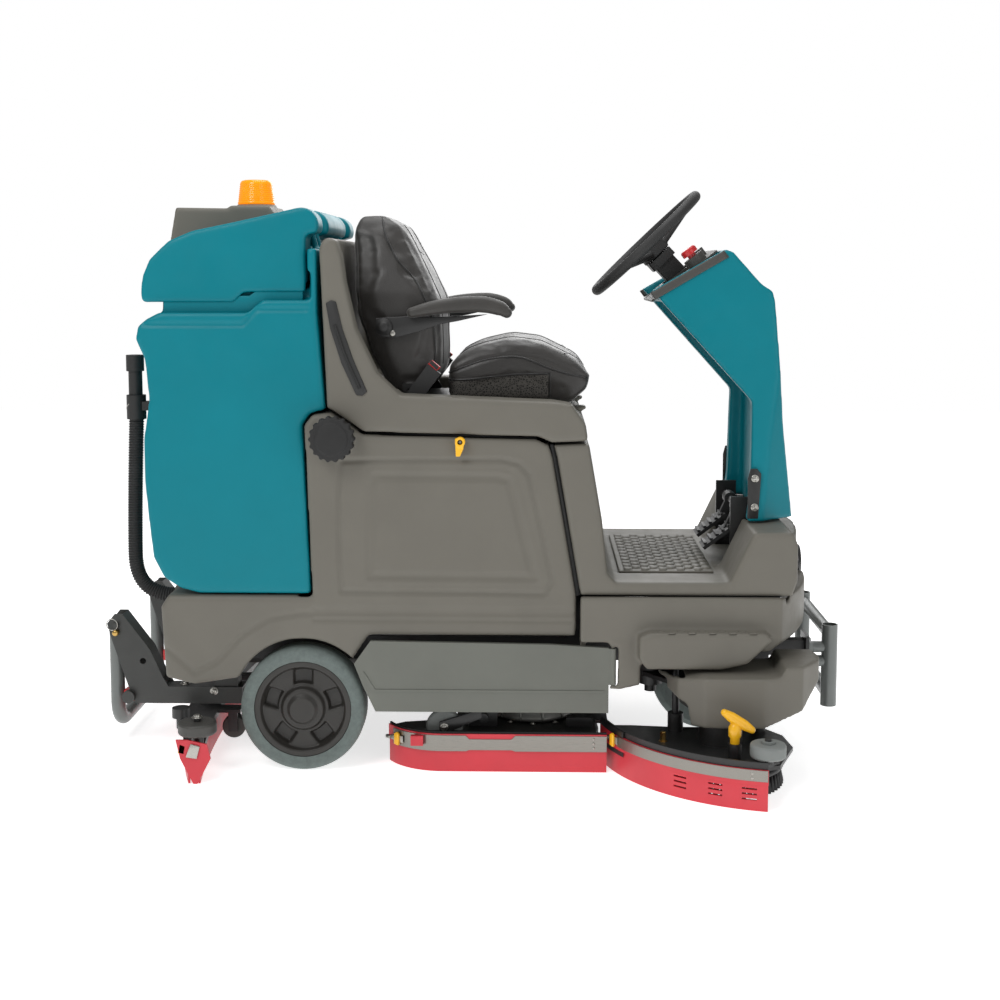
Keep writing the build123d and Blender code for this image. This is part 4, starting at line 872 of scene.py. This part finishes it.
for sign, side in SIDES:
    tyre = turned(f"tyre_{side}", TYRE_PROFILE, (0, sign * WHEEL_Y, WHEEL_RADIUS), LEFT, TYRE, steps=120)
    settle(tyre, f"rear_wheel_{side}", "tyre", f"rear_tyre_{side}")
    settle(hub_face(f"wheel_centre_{side}", sign), f"rear_wheel_{side}", "hub", f"rear_hub_{side}")

# ------------ brushes
def brush(name, centre, radius, inner, body, replaced):
    """Disc with rings of splayed bristle tufts."""
    bore, tuft_pitch, ring_pitch = 12.05, 15, 13
    profile = [(bore, 42), (radius - 6, 42), (radius - 4, 46), (radius - 6, 53), (40, 56), (36, 78), (bore, 78),
               (bore, 42)]
    disc = turned(name + "_disc", profile, (*centre, 0), UP, BLACK)
    made = bmesh.new()
    base = spot(*centre, 0)
    ring = inner
    while ring < radius - 4:
        count = int(2 * math.pi * ring / tuft_pitch)
        for k in range(count):
            angle = 2 * math.pi * (k + 0.5 * (int(ring) % 2)) / count
            wobble = 0.5 + 0.5 * math.sin(k * 12.9898 + ring * 78.233)
            out = Vector((math.cos(angle), math.sin(angle), 0))
            along = Vector((-out.y, out.x, 0))
            splay = (6 + 3 * wobble) * ring / radius
            foot = base + out * (ring + splay) / 1000 + along * (wobble - 0.5) * 0.004
            head = base + out * ring / 1000 + Vector((0, 0, 0.044))
            low, high = [], []
            for a in around(6):
                offset = out * math.cos(a) + along * math.sin(a)
                low.append(made.verts.new(foot + offset * 0.0052 + Vector((0, 0, 0.0006 + 0.002 * wobble))))
                high.append(made.verts.new(head + offset * 0.0034))
            bridged(made, [low, high])
            made.faces.new(list(reversed(low)))
            made.faces.new(high)
        ring += ring_pitch
    tufts = finished(made, name + "_tufts", BRISTLE, recalculate=False)
    settle(joined(name, [disc, tufts]), body, "bristle", replaced)


BRUSH_X, BRUSH_Y = 557, 184
for sign, side in SIDES:
    brush(f"disc_brush_{side}", (BRUSH_X, sign * BRUSH_Y), 172, 98, f"brush_body_{side}", f"brush_{side}")
brush("disc_brush_side", (1005, -425), 153, 86, "side_brush_body", "side_brush")


# ------------ squeegee bands, latches and rivets
def latch_clip(name, place, along, body):
    """Over-centre latch: yellow lever on a spring steel strap."""
    along = Vector((*along, 0)).normalized()
    parts = [plate("strap", [(-22, -6), (20, -9), (20, 9), (-22, 6)], 2, place, along, UP, ZINC, 0.5),
             plate("lever", [(-6, -14), (8, -16), (9, 13), (2, 17), (-6, 12)], 7, place, along, UP, YELLOW, 2),
             plate("hook", [(-34, -4), (-20, -4), (-20, 4), (-34, 4)], 9, place, along, UP, ZINC, 1.5)]
    return settle(joined(name, parts), body, "yellow_plastic")


def rivets(name, x, y, heights, axis, body):
    """A column of round rivet heads."""
    profile = [(0, 2.2), (2.4, 1.6), (3.4, 0.4), (3.4, -1), (0, -1)]
    heads = [turned("rivet", profile, (x, y, z), axis, ZINC, steps=20) for z in heights]
    settle(joined(name, heads), body, "seat_metal")


# X, lower edge and upper edge of the steel band along its straight run
MAIN_STEPS = [(736, 52, 91), (515, 52, 91), (506, 55, 82), (404, 55, 82), (395, 52, 91), (340, 52, 91)]
BLADE_Y = 385
MOTOR_PROFILE = [(62, 92), (104, 92), (106, 95), (106, 104), (102, 108), (101, 128), (98, 140), (90, 151),
                 (62, 161), (62, 92)]
MOTOR_RIB = [(98, 94), (109, 96), (109, 106), (104, 132), (98, 140)]
GUIDE_PROFILE = [(0, 12), (14, 12), (16, 8), (38, 8), (44, 5), (46, 0), (44, -5), (38, -8), (0, -8)]
LINK_OUTLINE = [(-12, -14), (10, -14), (92, 22), (92, 40), (74, 40), (-12, 12)]
for sign, side in SIDES:
    tail_arc = arc_points((340, sign * BLADE_Y), (268, sign * 367), (205, sign * 303), 18)
    band_end = tail_arc[1:15]
    plan = [(x, sign * BLADE_Y) for x, _, _ in MAIN_STEPS] + band_end
    lows = [low for _, low, _ in MAIN_STEPS] + [52] * len(band_end)
    highs = [high for _, _, high in MAIN_STEPS] + [91] * len(band_end)
    band = ribbon(f"steel_band_{side}", plan, lows, highs, 7.2, 1.6, STEEL, flip=-sign)
    settle(band, "head", "seat_metal")
    lip_plan = [(736, sign * BLADE_Y), (345, sign * BLADE_Y)] + tail_arc
    lip = ribbon(f"squeegee_lip_{side}", lip_plan, 90, 98, -3, 5, RUBBER, flip=-sign)
    settle(lip, "head", "black_rubber")
    rivets(f"band_rivets_{side}", 704, sign * 393.8, (62, 73, 84), (0, sign, 0), "head")
    x, y = tail_arc[12]
    latch_clip(f"main_latch_{side}", (x - 8, y + sign * 8, 70), (0.75, sign * 0.66), "head")
    # motor can, its flange bolts and the lift arm beside it
    motor = (BRUSH_X, sign * BRUSH_Y, 0)
    can = turned(f"brush_motor_{side}", MOTOR_PROFILE, motor, UP, CAST)
    ribs = [plate("rib", MOTOR_RIB, 5, motor, (math.cos(a), math.sin(a), 0), UP, CAST, 1)
            for a in (math.radians(15 + 30 * k) for k in range(12))]
    bolts = [bolt("bolt", (BRUSH_X + 112 * math.cos(a), sign * BRUSH_Y + 112 * math.sin(a), 91), UP, 5, ZINC)
             for a in around(12)]
    settle(joined(f"motor_casting_{side}", [can] + ribs + bolts), "head", "deck_paint")
    guide = turned(f"guide_roller_{side}", GUIDE_PROFILE, (341, sign * 340, 96), (0, sign, 0), ROLLER)
    link = plate("link", LINK_OUTLINE, 7, (341, sign * 352 + 3.5, 100), FORWARD, UP, BLACK_PAINT, 1.5)
    head_bolt = bolt("bolt", (341, sign * 356, 100), (0, sign, 0), 7, ZINC)
    settle(joined(f"lift_link_{side}", [guide, link, head_bolt]), "head", "deck_paint")

SIDE_ARC = arc_points((731, -300), (858, -522), (1086, -642), 41)
for name, plan, low, high, offset, thickness, look, slot_name in (
        ("side_holder_rear", SIDE_ARC[:11], 50, 112, 5.2, 1.6, BLACK_PAINT, "deck_paint"),
        ("side_holder", SIDE_ARC, 96, 112, -3.5, 6, BLACK_PAINT, "deck_paint"),
        ("side_band", SIDE_ARC[8:], 70, 96, 7.4, 1.8, STEEL, "seat_metal")):
    settle(ribbon(name, plan, low, high, offset, thickness, look), "side_head", slot_name)
x, y = SIDE_ARC[37]
rivets("side_band_rivets", x + 2, y - 9.4, (77, 88), (0.1, -1, 0), "side_head")
x, y = SIDE_ARC[7]
latch_clip("side_latch", (x - 10, y - 6, 84), (0.5, -0.86), "side_head")
settle(bolt("side_stud", (868, -430, 93), UP, 7, BRASS, height=3.2), "side_head", "seat_metal")

handle = bar("handle", [(997 + 16 * k, -552, 200 - 10 * k) for k in range(5)], 11, (8, 12, 12, 12, 8), YELLOW,
             squareness=2.4)
STEM = [(0, 84), (7, 84), (7, 112), (11, 116), (11, 140), (15, 146), (15, 166), (9, 178), (0, 180)]
stem = turned("stem", STEM, (1022, -552, 0), UP, YELLOW)
nut = turned("nut", [(0, 86), (10, 86), (10, 96), (7, 99), (0, 99)], (1022, -552, 0), UP, BRASS, steps=6)
settle(joined("side_knob_grip", [handle, stem, nut]), "side_knob_body", "dark_plastic", "side_knob")

for sign, side in SIDES:
    clamp = side_plate("clamp", [(-262, 66), (-236, 62), (-228, 92), (-250, 98)], 5, sign * 494, ZINC, 1)
    lever = side_plate("lever", [(-282, 74), (-266, 70), (-262, 92), (-278, 98)], 8, sign * 488, YELLOW, 2)
    settle(joined(f"rear_latch_{side}", [clamp, lever]), "squeegee", "yellow_plastic")
    roller_bolt = bolt("bolt", (-243, sign * 450, 149), UP, 9, ZINC)
    settle(joined(f"roller_bolt_{side}", [roller_bolt]), "squeegee", "seat_metal")

# ------------ seals in the body seams
SEAM_LINE = [(597, 797), (605, 797), (614, 768), (671, 435), (661, 431), (603, 768)]
DECK_LINE = [(156, 820), (566, 809), (566, 813.5), (156, 824.5)]
FILLER = [(636, 436), (690, 436), (690, 322), (636, 322)]
NECK = [(-326, 1098), (-118, 1098), (-88, 1128), (8, 1128), (8, 1176), (-84, 1176), (-120, 1150), (-326, 1150)]
for sign, side in SIDES:
    for name, outline, thickness, y, look, bevel, slot_name in (
            ("body_seal", SEAM_LINE, 22, sign * 363, RUBBER, 0, "black_rubber"),
            ("deck_seal", DECK_LINE, 14, sign * 363 + 8, RUBBER, 0, "black_rubber"),
            ("tank_neck", NECK, 12, sign * 346, TEAL, 2, "teal_shell"),
            ("seam_filler", FILLER, 20, sign * 330, RUBBER, 0, "black_rubber")):
        settle(side_plate(f"{name}_{side}", outline, thickness, y, look, bevel), "chassis", slot_name)
nose = [(1150 + 72 * (1 - (y / 371) ** 2), y) for y in range(-371, 372, 53)]
loop = [spot(x, y, 433) for x, y in [(680, -371), (900, -371)] + nose + [(900, 371), (680, 371)]]
settle(tube("nose_seal", loop, 0.0034, RUBBER, closed=True), "chassis", "black_rubber")


# ------------ platform mat with scales, step treads
def tread(name, cells, length, width, rise):
    """Raised half-round scales, one at each machine point."""
    outline = [(length * (0.12 + 0.5 * math.sin(a)), -width / 2 * math.cos(a))
               for a in (math.radians(k) for k in range(0, 181, 20))]
    outline = [(-length * 0.35, -width / 2)] + outline + [(-length * 0.35, width / 2)]
    made = bmesh.new()
    for x, y, z in cells:
        low = [made.verts.new(spot(x + u, y + v, z)) for u, v in outline]
        top = [made.verts.new(spot(x + u * 0.86, y + v * 0.86, z + rise)) for u, v in outline]
        bridged(made, [low, top])
        made.faces.new(top)
    return finished(made, name, GREY, flat=True)


MAT_OUTLINE = [(770, -256), (1004, -256), (1004, 256), (770, 256)]
mat_base = plate("mat_base", MAT_OUTLINE, 6.5, (0, 0, 463), FORWARD, LEFT, GREY, 3)
mat_cells = [(790 + 22 * row, -234 + 42.5 * column + 21.2 * (row % 2), 469.2)
             for row in range(10) for column in range(12 - row % 2)]
settle(joined("mat_with_scales", [mat_base, tread("mat_scales", mat_cells, 23, 38, 3.2)]), "chassis",
       "black_rubber", "platform_mat")
for sign, side in SIDES:
    cells = [(860 + 24 * k, sign * (417 + 15 * (k % 2)), 355.4) for k in range(10)]
    settle(tread(f"step_tread_{side}", cells, 20, 13, 2.2), "chassis", "grey_shell")

# ------------ trim on the shells
GRIP_LINE = [(67, 1133), (79, 1140), (91, 1137), (106, 1073), (131, 1000), (163, 924), (152, 914), (137, 916),
             (103, 990), (77, 1073)]
RIB_LINE = [(88, 0, 1082), (112, 0, 1010), (146, 0, 932)]
BRACKET = [(1086, 600), (1112, 600), (1118, 712), (1108, 724), (1092, 724), (1086, 700)]


def panel_surround(name, sign):
    """Dark band on the cheek of the column, between its two ends (rear low, front high)."""
    made = bmesh.new()
    rows = []
    for t in np.linspace(0, 1, 25):
        rear = np.array([846, 1154]) * (1 - t) + np.array([1028, 1259]) * t
        front = np.array([858, 1138]) * (1 - t) + np.array([1040, 1243]) * t
        row = []
        for u in np.linspace(0, 1, 5):
            x, z = rear * (1 - u) + front * u
            half = np.interp(z, [1120, 1200, 1270], [196, 180, 170])
            row.append(made.verts.new(spot(x, sign * (half + 1.2), z)))
        rows.append(row)
    for one, two in zip(rows, rows[1:]):
        for k in range(4):
            made.faces.new((one[k], one[k + 1], two[k + 1], two[k]))
    skin = finished(made, name, DARK_GREY, recalculate=False)
    add_modifier(skin, "SOLIDIFY", thickness=0.004, offset=0)
    return applied(skin)


for sign, side in SIDES:
    grip = side_plate("grip", GRIP_LINE, 6, sign * 386, BLACK, 2.5)
    rib = tube("rib", [spot(x, sign * 389, z) for x, _, z in curved(RIB_LINE)], 0.0045, RUBBER)
    settle(joined(f"shroud_grip_{side}", [grip, rib]), "deck", "dark_plastic")
    settle(panel_surround(f"panel_surround_{side}", sign), "chassis", "dark_plastic")
    hinge = side_plate("bracket", BRACKET, 6, sign * 247, BLACK_PAINT, 1.5)
    screws = [bolt("bolt", (1103, sign * 250, z), (0, sign, 0), 6.5, ZINC) for z in (628, 700)]
    settle(joined(f"column_bracket_{side}", [hinge] + screws), "chassis", "frame_paint")

# tail end: red end caps on the guard's beams, pins, rings and bolts
for sign, side in SIDES:
    stub = side_plate("stub", [(-484, 118), (-455, 118), (-455, 148), (-484, 148)], 34, sign * 200, RED, 4)
    settle(joined(f"tail_cap_{side}", [stub]), "chassis", "red_plastic")
    ring = [spot(-503 + 14 * math.cos(a), sign * (240 + 3 * math.sin(a)), 322 + 15 * math.sin(a))
            for a in around(28)]
    bits = [tube("ring", ring, 0.0011, ZINC, closed=True, sides=8),
            turned("pin", [(0, 9), (6, 9), (8, 6), (8.5, 0), (8.5, -6), (0, -6)], (-496, sign * 232, 300),
                   (0, sign, 0), BRASS, steps=32),
            bolt("bolt", (-250, sign * 228, 150), (0, sign, 0), 7, ZINC),
            bolt("bolt", (-330, sign * 200, 160), UP, 9, ZINC)]
    settle(joined(f"tail_hardware_{side}", bits), "chassis", "frame_paint")

# wire ring of the hose clip
wire = [spot(-446 - 16 * math.cos(a), -200 + 20 * math.sin(a), 868 - 14 * math.sin(a + 0.4))
        for a in around(32)]
settle(tube("clip_ring", wire, 0.0012, ZINC, closed=True, sides=8), "chassis", "frame_paint")

# ------------ beacon and lamp
dome = [(30, 1380.4), (47.5, 1380.4), (48, 1385), (46.6, 1387)]
for k in range(9):
    z = 1389 + 5 * k
    dome += [(45.6 - 0.62 * k, z), (46.6 - 0.62 * k, z + 1.5), (46.4 - 0.62 * k, z + 3.4)]
dome += [(40, 1437), (37, 1441), (30, 1443), (0, 1444)]
dome += [(0, 1440), (30, 1438), (37, 1434), (40, 1400), (42, 1384), (30, 1384), (30, 1380.4)]
CORE = [(0, 1382), (30, 1382), (30, 1388), (12, 1392), (12, 1418), (22, 1422), (22, 1428), (0, 1430)]
BEACON = (-165, 0, 0)
lens = turned("beacon_dome", dome, BEACON, UP, AMBER, steps=96)
core = turned("beacon_core", CORE, BEACON, UP, ZINC)
settle(lens, "lid", "amber", "beacon_lens")
settle(core, "lid", "lamp")
LAMP = (0, 0, 446)
for name, profile, look in (
        ("lamp_glass", [(0, 1262), (20, 1261), (34, 1257), (39, 1252), (39, 1249), (0, 1249)], CLEAR),
        ("lamp_ring", [(38, 1249), (39, 1258), (44, 1258), (47.8, 1250), (47.8, 1236), (38, 1236), (38, 1249)],
         GLOSS_BLACK),
        ("lamp_bowl", [(6, 1242), (20, 1243), (32, 1247), (37.5, 1252), (36, 1252), (30, 1248.5), (19, 1244.5),
                       (6, 1243.5), (6, 1242)], ZINC)):
    settle(turned(name, profile, LAMP, FORWARD, look), "chassis", "lamp")

# ------------ stage and light
floor_mesh = bpy.data.meshes.new("floor")
floor_mesh.from_pydata([(-9, -9, 0), (9, -9, 0), (9, 9, 0), (-9, 9, 0)], [], [(0, 1, 2, 3)])
floor_look = Nodes("floor_paper")
floor_look.paint(floor_look.ramp(floor_look.noise(2.0), [(0.3, (0.93,) * 3), (0.7, (0.96,) * 3)]))
floor_look.put("Roughness", 0.9)
floor_look.put("Emission Color", (1, 1, 1, 1))
floor_look.put("Emission Strength", 0.7)
floor = new_object("floor", floor_mesh, floor_look.material)
floor.location.z = -0.0005
floor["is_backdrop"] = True

world = bpy.data.worlds.new("studio")
world.use_nodes = True
world_nodes = world.node_tree.nodes
seen = world_nodes.new("ShaderNodeLightPath").outputs["Is Camera Ray"]
level = world_nodes.new("ShaderNodeMapRange")
level.inputs["To Min"].default_value = 0.34
level.inputs["To Max"].default_value = 1.0
world.node_tree.links.new(seen, level.inputs["Value"])
world.node_tree.links.new(level.outputs["Result"], world_nodes["Background"].inputs["Strength"])
world_nodes["Background"].inputs["Color"].default_value = (1, 1, 1, 1)
scene.world = world
scene.view_settings.view_transform = "Standard"


def soft_light(name, place, target, size, power):
    data = bpy.data.lights.new(name, "AREA")
    data.size = size
    data.energy = power
    lamp = bpy.data.objects.new(name, data)
    scene.collection.objects.link(lamp)
    lamp.location = place
    lamp.rotation_euler = (Vector(target) - Vector(place)).to_track_quat("-Z", "Y").to_euler()


soft_light("key", (-1.8, -2.6, 3.2), (0, 0, 0.7), 1.6, 50)
soft_light("fill", (2.6, -3.0, 1.8), (0, 0, 0.6), 2.0, 20)
soft_light("top", (0, 0.2, 3.8), (0, 0, 0.5), 2.4, 58)
soft_light("back", (0.5, 3.2, 2.4), (0, 0, 0.7), 2.2, 40)

low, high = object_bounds()
